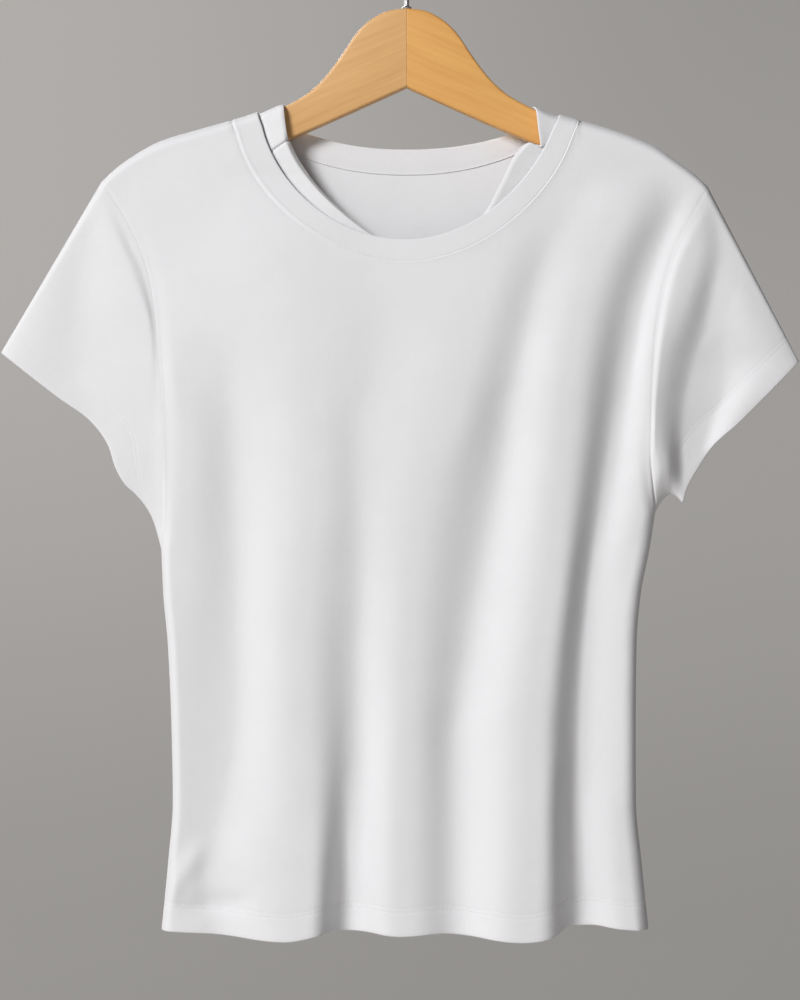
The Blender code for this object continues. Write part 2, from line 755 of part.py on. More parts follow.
def make_hook(steel):
    """The bent wire, with a collar at its foot that sits on the wood."""
    path = bpy.data.curves.new("hook_path", "CURVE")
    path.dimensions = "3D"
    path.bevel_depth = WIRE / 2.0 * MM
    path.bevel_resolution = 3
    path.use_fill_caps = True
    foot = ARM[0].top - SEAM_GAP
    wide = COLLAR_RADIUS / (WIRE / 2.0)
    stations = [(0.0, foot, wide), (0.0, foot - COLLAR_HEIGHT, wide),
                (0.0, foot - COLLAR_HEIGHT - COLLAR_SLOPE, 1.0)]
    stations += [(across, drop, 1.0) for across, drop in hook_route()]
    line = path.splines.new("POLY")
    line.points.add(len(stations) - 1)
    for point, (across, drop, scale) in zip(line.points, stations):
        point.co = ((ARM_JOINT + across) * MM, 0.0, -drop * MM, 1.0)
        point.radius = scale
    path.materials.append(steel)
    wire = bpy.data.objects.new("hook", path)
    bpy.context.scene.collection.objects.link(wire)


def main():
    for thing in list(bpy.data.objects):
        bpy.data.objects.remove(thing, do_unlink=True)
    jersey = make_material("white_jersey", (0.80, 0.80, 0.82), 0.85)
    rib = make_material("white_rib", (0.80, 0.80, 0.82), 0.85)
    beech = make_material("beech", (0.68, 0.41, 0.18), 0.45)
    steel = make_material("steel", (0.55, 0.55, 0.55), 0.3, 1.0)
    make_panel("front", "front", jersey)
    make_panel("back", "back", jersey)
    for half in HALVES:
        make_sleeve(half, jersey)
    make_neckband(rib)
    make_facing(jersey)
    for half in HALVES:
        make_arm(half, beech)
    make_hook(steel)


main()
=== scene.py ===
"""White crew neck t-shirt on a beech hanger.

Metres, +Z up, the shirt's front faces -Y. The origin is the inner top of the hanger's hook.
The tables hold millimetres: "drop" is how far a point lies below the origin, "across" how far
to the right of the middle and "reach" how far from the middle to either side. A cloth piece is
one layer of jersey laid out as a grid of points, turned in at its seams and turned up at its
hems, and then given its thickness.
"""
import math
from collections import namedtuple

import bmesh
import bpy
import numpy as np
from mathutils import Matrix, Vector


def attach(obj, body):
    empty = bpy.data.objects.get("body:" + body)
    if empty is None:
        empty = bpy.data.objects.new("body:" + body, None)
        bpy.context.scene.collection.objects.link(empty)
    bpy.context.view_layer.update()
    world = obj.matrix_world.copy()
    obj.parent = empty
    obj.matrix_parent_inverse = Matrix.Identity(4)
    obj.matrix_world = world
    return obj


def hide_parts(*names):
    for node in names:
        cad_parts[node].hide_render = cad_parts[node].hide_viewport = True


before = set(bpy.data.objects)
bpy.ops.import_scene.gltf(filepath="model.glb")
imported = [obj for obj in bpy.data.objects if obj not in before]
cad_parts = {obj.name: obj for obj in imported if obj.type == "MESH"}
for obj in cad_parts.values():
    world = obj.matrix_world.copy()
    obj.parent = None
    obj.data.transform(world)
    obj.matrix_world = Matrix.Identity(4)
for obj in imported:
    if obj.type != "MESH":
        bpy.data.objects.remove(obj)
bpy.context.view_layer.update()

MM = 0.001
TINY = 1e-5               # metres within which places count as the same
FACE_SIGN = {"front": -1.0, "back": 1.0}
HALF_SIGN = {"left": -1.0, "right": 1.0}
HALVES = ("left", "right")


def rows_of(kind, *rows):
    """A table whose rows have named columns."""
    return tuple(kind(*row) for row in rows)


# ------------------------------------------------------------------ sizes, millimetres

JERSEY = 0.8              # thickness of one layer
LIFT = 1.05               # the jersey's middle lies this far outside the body's form

ROLL = 0.32               # radius of the cloth where it turns into a seam
NECK_PULL = 0.40          # the roll starts this far before the neck seam
ARMHOLE_PULL = 0.28       # and this far before an armhole's
PULL_FADE = 5.0           # the roll's start is felt over this distance
SEAM_START_ROWS = 6.0     # rows over which the armhole's seam begins above the underarm
NECK_CORNER = 8.0         # length over which the neck seam begins at its corners
RIDGE_HIGH = 0.105        # the cloth stands up beside a seam, over its allowance
RIDGE_AT = 1.9
RIDGE_WIDE = 1.2
SIDE_ALLOWANCE = 5.0
ARMHOLE_ALLOWANCE = 3.6
SHOULDER_ALLOWANCE = 0.8
NECK_ALLOWANCE = {"front": 2.4, "back": 0.5}
ALLOWANCE_UV = np.array([0.3, 0.6, 0.9, 2.0, 5.0])    # how far the turned-in rows lie past the edge

HEM_TURN = 0.62           # radius of the hem's fold
FOLD_ROWS = 5             # rows on the round of a fold
NEEDLES = (16.6, 19.4)    # heights of the two rows of stitches above a hem
GROOVE = 0.20             # how deep the stitches pull the cloth in
CUFF_GROOVE = 0.11
GROOVE_WIDTH = 0.9
STITCH_PITCH = 2.9
STITCH_LENGTH = 2.5
THREAD_WIDE = 0.45
THREAD_HIGH = 0.35
STITCH_BEND = 0.22        # share of a stitch from its middle to each bend
STITCH_TAPER = 0.55       # its ends are this thin and dip this far into the cloth
STITCH_DIP = 0.55

NECK_LEAN = 2.0           # the neck's edge leans out by this at the shoulders
NECK_LEAN_HEIGHT = 12.0
SADDLE_DEPTH = 10.0       # how deep the cloth lies over the hanger's arms
SADDLE_HEIGHT = 7.0
SADDLE_FADE = 45.0        # the folds grow to their full depth over this height
SIDE_OPENS = 0.3          # share of the armhole's rise over which the side seam opens
SIDE_ROUND = {"left": 7.0, "right": 10.0}   # width over which the cloth turns to a side seam
SIDE_SHARP = 8.0          # the side seam opens suddenly only this close to it
SIDE_SOFT = 1.5           # and more softly away from it

FOLD_RUN_OUT = 10.0       # least width over which the outermost folds flatten out
CREST_SKEW = 1.35         # crests are rounder than valleys
GENTLE = 0.15             # slope up to which the cloth runs evenly from crest to valley
STEEP = 0.62              # slope from which it falls sharply halfway
BODY_SHARP = 1.15         # and how sharply, on the body and on the sleeves
SLEEVE_SHARP = 0.1
HEM_FLARE = 1.1           # the hem stands out by this, over the height above it
HEM_FLARE_HEIGHT = 24.0
HEM_FLARE_CURVE = 1.5
FLARE_INSET = 9.0         # width over which flare and creases begin at a side seam
CREASE_ENDS = 3.0         # a crease fades over one part in this many of its length
SLOPE_STEP = 0.5          # slopes are measured over this to either side

BAND_LAYER = 0.52         # the band's two layers lie this far to either side of its middle
BAND_PROUD = -0.30        # the band's middle lies this far outside the jersey's
BAND_TUCK = 0.25          # the band dips by this at its seam
BAND_TUCK_WIDE = 0.8
BAND_BEAD = 0.25          # the left of the band stands up beside its seam
BEAD_AT = 1.5
BEAD_WIDE = 0.9
BAND_THIN = 0.9           # how much of the inner layer's distance is gone at the seam
BAND_THIN_SHARE = 0.3
BAND_END = 0.6            # share of the allowance behind the inner layer
BAND_SHARES = (0.0, 0.03, 0.06, 0.09, 0.12, 0.15, 0.19, 0.27, 0.4, 0.55, 0.7, 0.82, 0.91, 0.96,
               1.0)

FACING_BELOW = 1.9        # the facing lies this far behind the band at the band's free edge
FACING_RISE = {"left": 3.4, "right": 2.3}     # and comes forward by this towards its edge
FACING_SLOT = {"left": 3.8, "right": 0.3}     # depth of the slot beside the band
FACING_SLOT_WIDE = 2.3
FACING_CURL = {"left": 3.8, "right": 0.9}     # how far its free edge curls back
FACING_CURL_WIDE = 2.6
FACING_RISE_CURVE = 0.9
CURL_CURVE = 1.6
CURL_SHARE = 0.6          # most of the strip's width that the curl takes up
CURL_LEAST = 0.2          # share of the curl above the arms, and how much of it goes at the middle
CURL_DROPS = 0.7
CURL_GROWS = (3.7, 4.5)   # columns between which it grows, and between which it fades
CURL_FADES = (7.0, 9.0)
FACING_TURN = 0.6         # allowance behind its free edge
FACING_SEAM_WIDE = 0.8
FACING_HIDDEN_ROWS = 6
FACING_ROWS = 30
FACING_BUNCH = 1.7        # its columns stand closer together at the top of the arms
RISE_COLUMNS = (0.4, 3.0, 6.0, 8.2)           # columns where the rise and the slot start, are
SLOT_COLUMNS = (0.3, 1.3, 6.0, 7.6)           # whole, begin to fade and are gone

ARM_THICKNESS = 12.0
ARM_JOINT = 0.5           # the joint between the halves, right of the middle
ARM_GAP = 0.03            # from the joint to each half
ARM_STEP = 3.2            # length that an arm grows by at a time
ARM_TOP_ROUND = 2.2
ARM_LOW_ROUND = 2.0
JOINT_BEVEL = 0.3
WIRE = 3.6                # diameter of the hook's wire
HOOK_INNER = 38.0
HOOK_BEND = 14.0
HOOK_END = 200.0          # degrees of the hook's round
HOOK_SIDES = 20
HOOK_STEPS = (12, 54)     # around its bend and around its round
HOOK_TIP = ((0.5, 0.94), (0.5, 0.82), (0.3, 0.55))    # rings of its end: on by, then narrower by
COLLAR_RADIUS = 3.6
COLLAR_SEAT = 0.3         # the collar is let into the wood by this
COLLAR_RINGS = (          # heights above its foot and radii, up to the bare wire
    (0.1, 3.384), (1.3, 3.6), (1.6, 3.42), (1.75, 3.0096), (2.15, 2.2), (2.55, WIRE / 2.0))

SHOULDER_COLUMNS = 30
NECK_COLUMNS = 38
YOKE_ROWS = 92
YOKE_LOW_BUNCH = 1.2      # how the yoke's rows crowd at the underarm and at the top
YOKE_TOP_BUNCH = 1.9
EVEN_COLUMNS = 0.15       # share of the columns' places that is even, not crowded at the sides
SEAM_FOLLOW = 16          # the higher, the fewer columns follow the curve of an armhole
BODY_ROWS = 96
SLEEVE_COLUMNS = 60
SLEEVE_ROWS = 40
SLEEVE_BUNCH = 1.7        # how its columns crowd at the shoulder and under the arm
HEM_LEVELS = (0.0, 2.5, 5.0, 7.5, 10.0, 12.0, 13.6, 14.8, 15.6, 16.1, 16.6, 17.1, 17.6, 18.2,
              18.9, 19.4, 19.9, 20.6)

Side = namedtuple("Side", "drop left right")
SIDES = rows_of(Side,
    (445, 178.8, 181.4), (472, 178.1, 177.2), (505, 176.7, 170.8), (540, 173.5, 167.9),
    (600, 170.8, 167.2), (655, 169.8, 167.4), (700, 173.2, 171.5), (753, 178.4, 177.0))

Armhole = namedtuple("Armhole", "rise left right")
ARMHOLES = rows_of(Armhole,
    (0.00, 178.1, 181.4), (0.07, 176.6, 179.4), (0.18, 176.2, 177.2), (0.33, 176.9, 177.4),
    (0.45, 178.3, 178.8), (0.55, 180.4, 180.6), (0.65, 182.8, 183.8), (0.72, 185.6, 187.6),
    (0.80, 191.5, 193.5), (0.88, 201.0, 203.0), (0.94, 210.4, 211.6), (1.00, 221.9, 219.6))
UNDERARM = {"left": 472.0, "right": 445.0}

Shoulder = namedtuple("Shoulder", "reach left right")
SHOULDERS = rows_of(Shoulder,
    (0, 136.0, 136.0), (90, 145.6, 145.9), (107, 152.5, 153.4), (124, 158.2, 158.5),
    (150, 165.6, 166.0), (179, 174.4, 177.2), (199, 185.3, 190.4), (212, 194.8, 200.2),
    (222, 204.4, 209.8))

NeckEdge = namedtuple("NeckEdge", "left right low fall_left fall_right round")
FRONT_SEAM = NeckEdge(124.8, 123.6, 263.4, 1.70, 1.52, 1.9)
FRONT_FREE = NeckEdge(107.0, 110.5, 247.8, 1.70, 1.40, 2.0)
SEAMS = {"front": FRONT_SEAM, "back": NeckEdge(124.8, 123.6, 197.4, 1.0, 1.0, 2.2)}
FREE_EDGES = {"front": FRONT_FREE, "back": NeckEdge(107.0, 110.5, 179.6, 1.0, 1.0, 2.2)}
NeckRise = namedtuple("NeckRise", "place height width")
NECK_RISES = rows_of(NeckRise,   # how the front stands up (or dips) beside the neck seam
    (-1.0, -0.40, 2.8), (-0.6, -0.40, 2.8), (-0.25, 0.2, 2.2), (0.0, 0.40, 2.2),
    (0.35, 0.45, 3.0), (0.75, 0.60, 5.5), (1.0, 0.60, 5.5))

# A fold line is the crest of a ridge or the bottom of a valley on its way down the cloth, and
# "deep" is how far it lies from the middle plane. The cloth runs smoothly from each line to the
# next one on its right. On a sleeve "deep" is the height over the plain sleeve.
Fold = namedtuple("Fold", "drop across deep")


def fold_lines(*lines):
    return tuple(rows_of(Fold, *line) for line in lines)


FRONT_FOLDS = fold_lines(
    # crest beside the left side seam
    ((200, -205, 10.3), (262, -178, 11.5), (300, -170, 12.0), (342, -166, 12.3), (385, -161, 12.0),
     (436, -162, 11.2), (494, -163, 10.0), (551, -163, 9.5), (667, -162, 9.0), (710, -160, 10.0),
     (753, -160, 10.5)),
    # wide shallow valley
    ((200, -150, 12.0), (262, -150, 14.0), (300, -143, 14.6), (342, -134, 12.2), (385, -128, 9.2),
     (436, -126, 6.9), (494, -125, 5.8), (551, -125, 5.7), (609, -127, 6.3), (667, -138, 7.2),
     (700, -146, 8.5), (753, -140, 9.5)),
    # crest left of the narrow valley
    ((200, -95, 12.0), (255, -85, 19.5), (298, -71, 20.5), (342, -68, 19.9), (385, -67, 19.0),
     (436, -67, 18.2), (494, -74, 17.8), (551, -77, 18.3), (609, -75, 19.3), (667, -74, 21.0),
     (710, -74, 23.2), (753, -76, 25.5)),
    # narrow valley left of the middle, darkest at the hem
    ((200, -30, 12.0), (262, -20, 18.5), (298, -18, 19.3), (342, -24, 18.1), (385, -34, 16.2),
     (436, -33, 14.0), (494, -33, 11.2), (551, -35, 8.8), (609, -35, 6.4), (667, -38, 3.6),
     (710, -41, 1.4), (753, -43, -0.4)),
    # low crest of the middle, which comes down from the right of the neck
    ((200, 70, 12.0), (255, 66, 20.0), (298, 55, 22.3), (342, 43, 22.7), (363, 37, 22.2),
     (385, 30, 21.2), (407, 20, 19.9), (436, 12, 18.5), (465, 6, 17.5), (494, 3, 16.9),
     (551, 0, 17.0), (609, 0, 17.6), (710, 0, 18.0), (753, 1, 18.4)),
    # soft valley that slants in from the right shoulder
    ((212, 124, 13.0), (233, 116, 15.0), (255, 104, 16.5), (298, 90, 17.4), (342, 80, 16.6),
     (363, 75, 14.6), (385, 72, 12.4), (407, 69, 10.3), (436, 64, 8.5), (465, 58, 7.3),
     (494, 53, 6.8), (551, 44, 7.2), (580, 40, 7.7), (609, 36, 8.2), (667, 36, 8.9), (753, 36, 9.6)),
    # the high crest left of the deep valley
    ((190, 162, 11.5), (212, 158, 14.5), (233, 152, 17.0), (255, 141, 18.8), (298, 125, 22.0),
     (342, 117, 24.2), (385, 114, 22.4), (436, 109, 20.8), (494, 104, 20.4), (551, 96, 21.6),
     (609, 90, 24.0), (667, 90, 26.4), (753, 86, 28.5)),
    # the deep valley from the right shoulder to the hem
    ((190, 206, 10.0), (212, 200, 9.3), (233, 192, 8.5), (255, 183, 8.0), (298, 170, 8.5),
     (342, 162, 8.3), (385, 155, 6.2), (436, 147, 4.6), (494, 137, 4.0), (551, 132, 3.6),
     (609, 130, 3.0), (667, 127, 2.2), (710, 129, 1.2), (753, 131, 0.5)),
    # crest beside the right side seam
    ((195, 232, 11.0), (233, 214, 12.5), (253, 206, 13.0), (277, 197, 13.5), (297, 190, 14.0),
     (320, 185, 14.8), (342, 182, 15.0), (363, 182, 15.0), (385, 181, 14.6), (407, 179, 13.4),
     (436, 174, 11.4), (465, 168, 10.0), (494, 161, 9.0), (609, 157, 9.0), (667, 158, 10.0),
     (753, 165, 11.5)))
BACK_FOLDS = fold_lines(
    ((230, -196, 10.0), (300, -168, 9.0), (400, -150, 8.5), (560, -134, 8.5), (753, -126, 8.5)),
    ((180, -168, 11.0), (250, -168, 12.0), (330, -140, 16.0), (420, -122, 18.0), (560, -104, 20.5),
     (753, -97, 26.0)),
    ((180, -96, 10.5), (245, -96, 6.5), (320, -94, 12.5), (420, -80, 13.5), (560, -68, 13.0),
     (753, -64, 14.0)),
    ((180, -50, 9.5), (245, -50, 5.0), (330, -50, 14.0), (420, -40, 20.0), (560, -30, 22.5),
     (753, -26, 29.0)),
    ((180, 10, 9.5), (245, 10, 4.5), (340, 16, 12.0), (480, 22, 14.0), (640, 24, 15.0),
     (753, 30, 17.0)),
    ((180, 70, 9.5), (245, 70, 6.0), (330, 70, 14.0), (400, 68, 20.0), (560, 72, 23.5),
     (753, 84, 30.0)),
    ((235, 150, 10.5), (300, 134, 11.0), (420, 118, 10.5), (600, 110, 10.0), (753, 112, 11.0)),
    ((235, 200, 10.5), (300, 166, 12.0), (420, 156, 12.0), (600, 148, 12.5), (753, 154, 13.0)))
# A short soft crease, from one place to another: a ridge, or a trough where its height is less
# than nothing.
Crease = namedtuple("Crease", "across drop end_across end_drop width height")
CREASES = {
    "front": rows_of(Crease, (-140, 678, -186, 738, 8.0, 2.2), (-168, 731, -104, 727, 8.0, -2.4)),
    "back": (),
}
SLEEVE_FOLDS = {
    ("front", "left"): fold_lines(
        ((253, -262, -0.5), (290, -266, -1.0), (341, -282, -1.0), (365, -285, -1.0)),
        ((239, -232, -1.0), (253, -238, -2.5), (282, -240, -3.5), (341, -243, -3.5),
         (363, -238, -2.5), (414, -226, -2.0)),
        ((224, -218, 2.0), (239, -212, 3.0), (253, -206, 3.5), (268, -201, 3.5), (282, -196, 3.5),
         (297, -190, 2.8), (312, -185, 1.7), (341, -186, 0.6), (385, -195, 0.3), (407, -200, 0.9),
         (430, -200, 1.0)),
        ((224, -214, 0.5), (239, -206, 0.0), (253, -200, 0.0), (268, -192, 0.5), (282, -188, 0.5),
         (297, -183, 0.5), (312, -180, 0.0), (385, -182, 0.0), (430, -181, 0.0))),
    ("front", "right"): fold_lines(
        ((212, 215, 1.5), (224, 214, 3.0), (239, 212, 4.4), (253, 210, 5.4), (268, 207, 5.8),
         (282, 203, 5.6), (297, 197, 5.0), (312, 190, 4.2), (326, 185, 3.4), (341, 181, 2.6),
         (363, 178, 2.4), (385, 180, 4.0), (399, 183, 7.0), (414, 186, 9.5), (428, 186, 8.0)),
        ((224, 227, -1.0), (253, 230, -2.0), (282, 225, -3.2), (312, 219, -4.6), (334, 211, -5.6),
         (355, 206, -6.4), (385, 202, -7.2), (407, 201, -8.0), (428, 203, -6.0)),
        ((239, 236, -2.0), (268, 238, -1.6), (290, 235, -2.8), (312, 229, -4.2), (334, 230, -6.8),
         (355, 230, -7.2), (377, 223, -8.5), (399, 218, -8.0)),
        ((268, 250, -0.5), (290, 251, 0.0), (312, 262, 0.5), (334, 276, -0.5), (355, 260, 1.0),
         (377, 243, -1.0), (399, 230, -2.0))),
    ("back", "left"): fold_lines(
        ((240, -222, 3.0), (290, -206, 4.5), (350, -198, 3.0), (420, -196, 2.0)),
        ((260, -244, 0.0), (320, -234, -3.0), (400, -214, -2.5))),
    ("back", "right"): fold_lines(
        ((240, 216, 3.0), (290, 204, 4.5), (350, 196, 3.0), (420, 194, 2.0)),
        ((260, 240, 0.0), (320, 232, -3.0), (400, 212, -2.5))),
}

Hem = namedtuple("Hem", "across front back")
HEMS = rows_of(Hem,   # drop of the hem's edge
    (-178, 748.0, 748.0), (-139, 750.0, 745.5), (-88, 754.0, 747.0), (-52, 748.5, 743.0),
    (-28, 749.0, 745.0), (-5, 751.0, 744.0), (25, 749.5, 742.5), (47, 751.0, 743.5),
    (85, 754.0, 747.5), (104, 752.0, 744.0), (120, 745.5, 743.0), (138, 744.5, 745.5),
    (156, 746.5, 747.0), (177, 748.0, 748.0))

Cuff = namedtuple("Cuff", "along left left_drop right right_drop")
CUFFS = rows_of(Cuff,
    (0.00, 294.9, 327.7, 286.2, 334.2), (0.32, 252.6, 360.5, 261.7, 359.0),
    (0.50, 229.6, 377.3, 241.2, 379.5), (0.66, 216.1, 395.6, 224.8, 394.0),
    (0.78, 210.6, 412.3, 212.4, 412.3), (0.90, 201.8, 426.6, 204.4, 426.6),
    (1.00, 187.2, 437.2, 201.3, 436.9))
CUFF_DEPTH = {"front": 6.5, "back": 7.0}
SLEEVE_PUFF = -1.5        # the sleeve lies flatter than straight from armhole to cuff
SLEEVE_REACH = (176.0, 300.0)   # between these reaches its folds run out to nothing
SLEEVE_FOLD_START = 0.07  # share of its length over which they begin at the armhole
UNDERARM_TUCK = {"left": 0.0, "right": 9.0}   # how far the seam below it draws up
TUCK_CURVE = 6            # the higher, the closer to the seam
CUFF_ARC = 0.4            # the lower, the flatter the sleeve's round between its folded edges

Facing = namedtuple("Facing", "column left left_drop right right_drop")
FACINGS = rows_of(Facing,
    (0, 89.8, 145.6, 94.5, 147.7), (1, 89.7, 146.6, 94.7, 148.7), (2, 89.5, 149.6, 95.1, 151.7),
    (3, 89.0, 155.5, 95.9, 159.0), (3.4, 88.2, 162.0, 96.9, 168.0), (3.8, 87.2, 168.9, 98.2, 177.6),
    (3.95, 86.7, 171.2, 97.6, 179.2), (4.15, 86.0, 174.0, 90.0, 176.9),
    (4.35, 84.4, 177.3, 86.0, 178.2), (4.6, 81.2, 184.0, 81.8, 182.3),
    (5, 75.0, 194.5, 77.5, 189.0), (6, 57.5, 216.0, 69.0, 206.5), (7, 36.5, 234.5, 54.0, 232.0),
    (8, 17.0, 247.0, 29.0, 247.5), (9, 0.0, 250.5, 0.0, 250.5))

SeamLine = namedtuple("SeamLine", "across drop end_across end_drop depth")
FACING_SEAMS = rows_of(SeamLine, (-99.0, 183.2, -85.0, 174.2, 1.9), (83.2, 181.7, 90.0, 174.0, 0.8))

Arm = namedtuple("Arm", "reach top bottom")
ARM = rows_of(Arm,
    (0.0, 77.3, 135.0), (12.4, 78.9, 140.6), (23.4, 83.8, 145.6), (31.4, 90.0, 149.2),
    (38.0, 97.3, 152.2), (44.5, 107.2, 155.1), (51.1, 116.7, 158.0), (58.4, 126.2, 161.3),
    (65.7, 134.0, 164.5), (75.2, 141.5, 168.5), (89.8, 149.5, 174.8), (107.0, 157.9, 181.8),
    (125.0, 162.6, 188.4), (150.0, 168.6, 196.6), (179.0, 179.6, 205.6), (199.0, 192.6, 212.2),
    (213.0, 204.5, 216.6))


# ------------------------------------------------------------------ reading the tables

def read(rows, at, column):
    """Smooth value of a table's column at places along its first column, with no overshoot."""
    at = np.asarray(at, dtype=float)
    keys = np.array([row[0] for row in rows], dtype=float)
    values = np.array([getattr(row, column) for row in rows], dtype=float)
    steps = np.diff(keys)
    slopes = np.diff(values) / steps
    tangents = np.empty(len(keys))
    tangents[0], tangents[-1] = slopes[0], slopes[-1]
    before, after = slopes[:-1], slopes[1:]
    same_way = before * after > 0
    total = np.where(same_way, before + after, 1.0)
    tangents[1:-1] = np.where(same_way, 2.0 * before * after / total, 0.0)
    place = np.clip(at, keys[0], keys[-1])
    i = np.clip(np.searchsorted(keys, place, side="right") - 1, 0, len(keys) - 2)
    t = (place - keys[i]) / steps[i]
    rise = t * t * (3.0 - 2.0 * t)
    return (values[i] * (1.0 - rise) + values[i + 1] * rise
            + steps[i] * t * (1.0 - t) * (tangents[i] * (1.0 - t) - tangents[i + 1] * t))


def read_sides(rows, at, across):
    return np.where(across < 0, read(rows, at, "left"), read(rows, at, "right"))


def ease(share):
    share = np.clip(share, 0.0, 1.0)
    return share * share * (3.0 - 2.0 * share)


def between(value, start, end):
    """From 0 at the start softly up to 1 at the end."""
    return ease((value - start) / (end - start))


def plateau(value, start, whole, fading, gone):
    """1 between two places, and soft ends down to 0 on both sides."""
    return between(value, start, whole) * (1.0 - between(value, fading, gone))


def unit(vectors):
    return vectors / np.maximum(np.linalg.norm(vectors, axis=-1, keepdims=True), 1e-9)


# ------------------------------------------------------------------ the shirt's form

def shoulder_line(across):
    return read_sides(SHOULDERS, np.abs(across), across)


def shoulder_point(half):
    reach = getattr(ARMHOLES[-1], half)
    return reach, float(read(SHOULDERS, reach, half))


def rise_at(across, drop):
    """Share of the way from the underarm up to the shoulder point."""
    low = np.where(across < 0, UNDERARM["left"], UNDERARM["right"])
    high = np.where(across < 0, shoulder_point("left")[1], shoulder_point("right")[1])
    return np.clip((low - drop) / (low - high), 0.0, 1.0)


def panel_reach(across, drop):
    rise = rise_at(across, drop)
    return np.where(rise > 0, read_sides(ARMHOLES, rise, across), read_sides(SIDES, drop, across))


def folded(folds, across, drop, low_end, high_end, flat, sharpness=BODY_SHARP):
    """How deep the cloth lies at a point, from one fold line to the next, and flat at the ends."""
    places = [read(line, drop, "across") for line in folds]
    places = ([np.minimum(low_end, places[0] - FOLD_RUN_OUT)] + places
              + [np.maximum(high_end, places[-1] + FOLD_RUN_OUT)])
    deeps = [read(line, drop, "deep") for line in folds]
    deeps = [np.full_like(across, flat)] + deeps + [np.full_like(across, flat)]
    widths = [np.maximum(after - before, 1.0) for before, after in zip(places, places[1:])]
    slopes = [(after - before) / width for before, after, width in zip(deeps, deeps[1:], widths)]
    leans = [np.zeros_like(across)]
    for before, after in zip(slopes, slopes[1:]):
        same_way = before * after > 0
        total = np.where(same_way, before + after, 1.0)
        leans.append(np.where(same_way, 2.0 * before * after / total, 0.0))
    leans.append(np.zeros_like(across))
    result = np.full_like(across, flat)
    for k, (width, slope) in enumerate(zip(widths, slopes)):
        t = np.clip((across - places[k]) / width, 0.0, 1.0)
        inside = (across >= places[k]) & (across < places[k + 1])
        plain = ease(t)
        deep = (deeps[k] + slope * width * plain
                + width * t * (1.0 - t) * (leans[k] * (1.0 - t) - leans[k + 1] * t))
        steep = np.maximum(np.abs(slope), 1e-6)
        free = (np.maximum(1.0 - np.abs(leans[k]) / steep, 0.0)
                * np.maximum(1.0 - np.abs(leans[k + 1]) / steep, 0.0))
        shift = crest_fall(slope, t, sharpness) - plain_fall(slope, t)
        deep = deep - steep * width * free * shift
        result = np.where(inside, deep, result)
    return result


def plain_fall(slope, t):
    return ease(np.where(slope < 0, t, 1.0 - t))


def crest_fall(slope, t, sharpness):
    """Share of the fall from a round crest to a tighter valley, sharper where it is steep."""
    fall = ease(np.where(slope < 0, t, 1.0 - t) ** CREST_SKEW)
    sharp = between(np.abs(slope), GENTLE, STEEP)
    return fall + (ease(fall) - fall) * sharp * sharpness


def cloth_depth(face, across, drop):
    """Distance of the body's form from the middle plane."""
    across = np.asarray(across, dtype=float)
    drop = np.asarray(drop, dtype=float)
    below = np.maximum(drop - shoulder_line(across), 0.0)
    reach = panel_reach(across, drop)
    inside = np.maximum(reach - np.abs(across), 0.0)
    saddle = SADDLE_DEPTH * np.sqrt(1.0 - (1.0 - np.minimum(below / SADDLE_HEIGHT, 1.0)) ** 2)
    opened = np.minimum(rise_at(across, drop) / SIDE_OPENS, 1.0)
    turn = np.minimum(inside / np.where(across < 0, SIDE_ROUND["left"], SIDE_ROUND["right"]), 1.0)
    round_side = np.sqrt(1.0 - (1.0 - turn) ** 2)
    open_side = (1.0 - (1.0 - opened) ** 2) ** (0.5 + SIDE_SOFT * ease(inside / SIDE_SHARP))
    edge = round_side + (1.0 - round_side) * open_side
    folds = FRONT_FOLDS if face == "front" else BACK_FOLDS
    bulge = folded(folds, across, drop, -reach, reach, SADDLE_DEPTH) - SADDLE_DEPTH
    above_hem = np.clip((read(HEMS, across, face) - drop) / HEM_FLARE_HEIGHT, 0.0, 1.0)
    flare = HEM_FLARE * (1.0 - above_hem) ** HEM_FLARE_CURVE
    flare = flare + creased(CREASES[face], across, drop)
    return saddle * edge + bulge * ease(below / SADDLE_FADE) + flare * ease(inside / FLARE_INSET)


def creased(creases, across, drop):
    """Height of the short soft creases at a point."""
    total = np.zeros_like(across)
    for crease in creases:
        run_across = crease.end_across - crease.across
        run_down = crease.end_drop - crease.drop
        length = math.hypot(run_across, run_down)
        along = ((across - crease.across) * run_across + (drop - crease.drop) * run_down) / length
        off = ((across - crease.across) * run_down - (drop - crease.drop) * run_across) / length
        fade = ease(along / length * CREASE_ENDS) * ease((1.0 - along / length) * CREASE_ENDS)
        total = total + crease.height * fade * np.exp(-(off / crease.width) ** 2)
    return total


def outward(face, across, drop):
    """Unit vectors that point out of the cloth, from the slope of its depth."""
    slope_across, slope_down = (
        (cloth_depth(face, across + right, drop + down)
         - cloth_depth(face, across - right, drop - down)) / (2.0 * SLOPE_STEP)
        for right, down in ((SLOPE_STEP, 0.0), (0.0, SLOPE_STEP)))
    way = np.full_like(slope_down, FACE_SIGN[face])
    return unit(np.stack([-slope_across, way, slope_down], axis=-1))


def upright(normal):
    """A normal turned into the middle plane, where the front meets the back."""
    return unit(normal * (1.0, 0.0, 1.0))


def points_on(face, across, drop):
    """Points of the jersey's middle on a panel."""
    depth = cloth_depth(face, across, drop) + LIFT
    return np.stack([across, FACE_SIGN[face] * depth, -drop], axis=-1)


def neck_points(edge, columns, bunch=1.0):
    """Across and drop along a neck edge from left to right, bunched at its ends if over 1."""
    turn = math.pi / 2.0 * (np.arange(columns + 1) / columns) ** bunch
    left = neck_half(edge, "left", turn)
    right = neck_half(edge, "right", turn)
    across = np.concatenate([-left[0], right[0][-2::-1]])
    drop = np.concatenate([left[1], right[1][-2::-1]])
    return across, drop


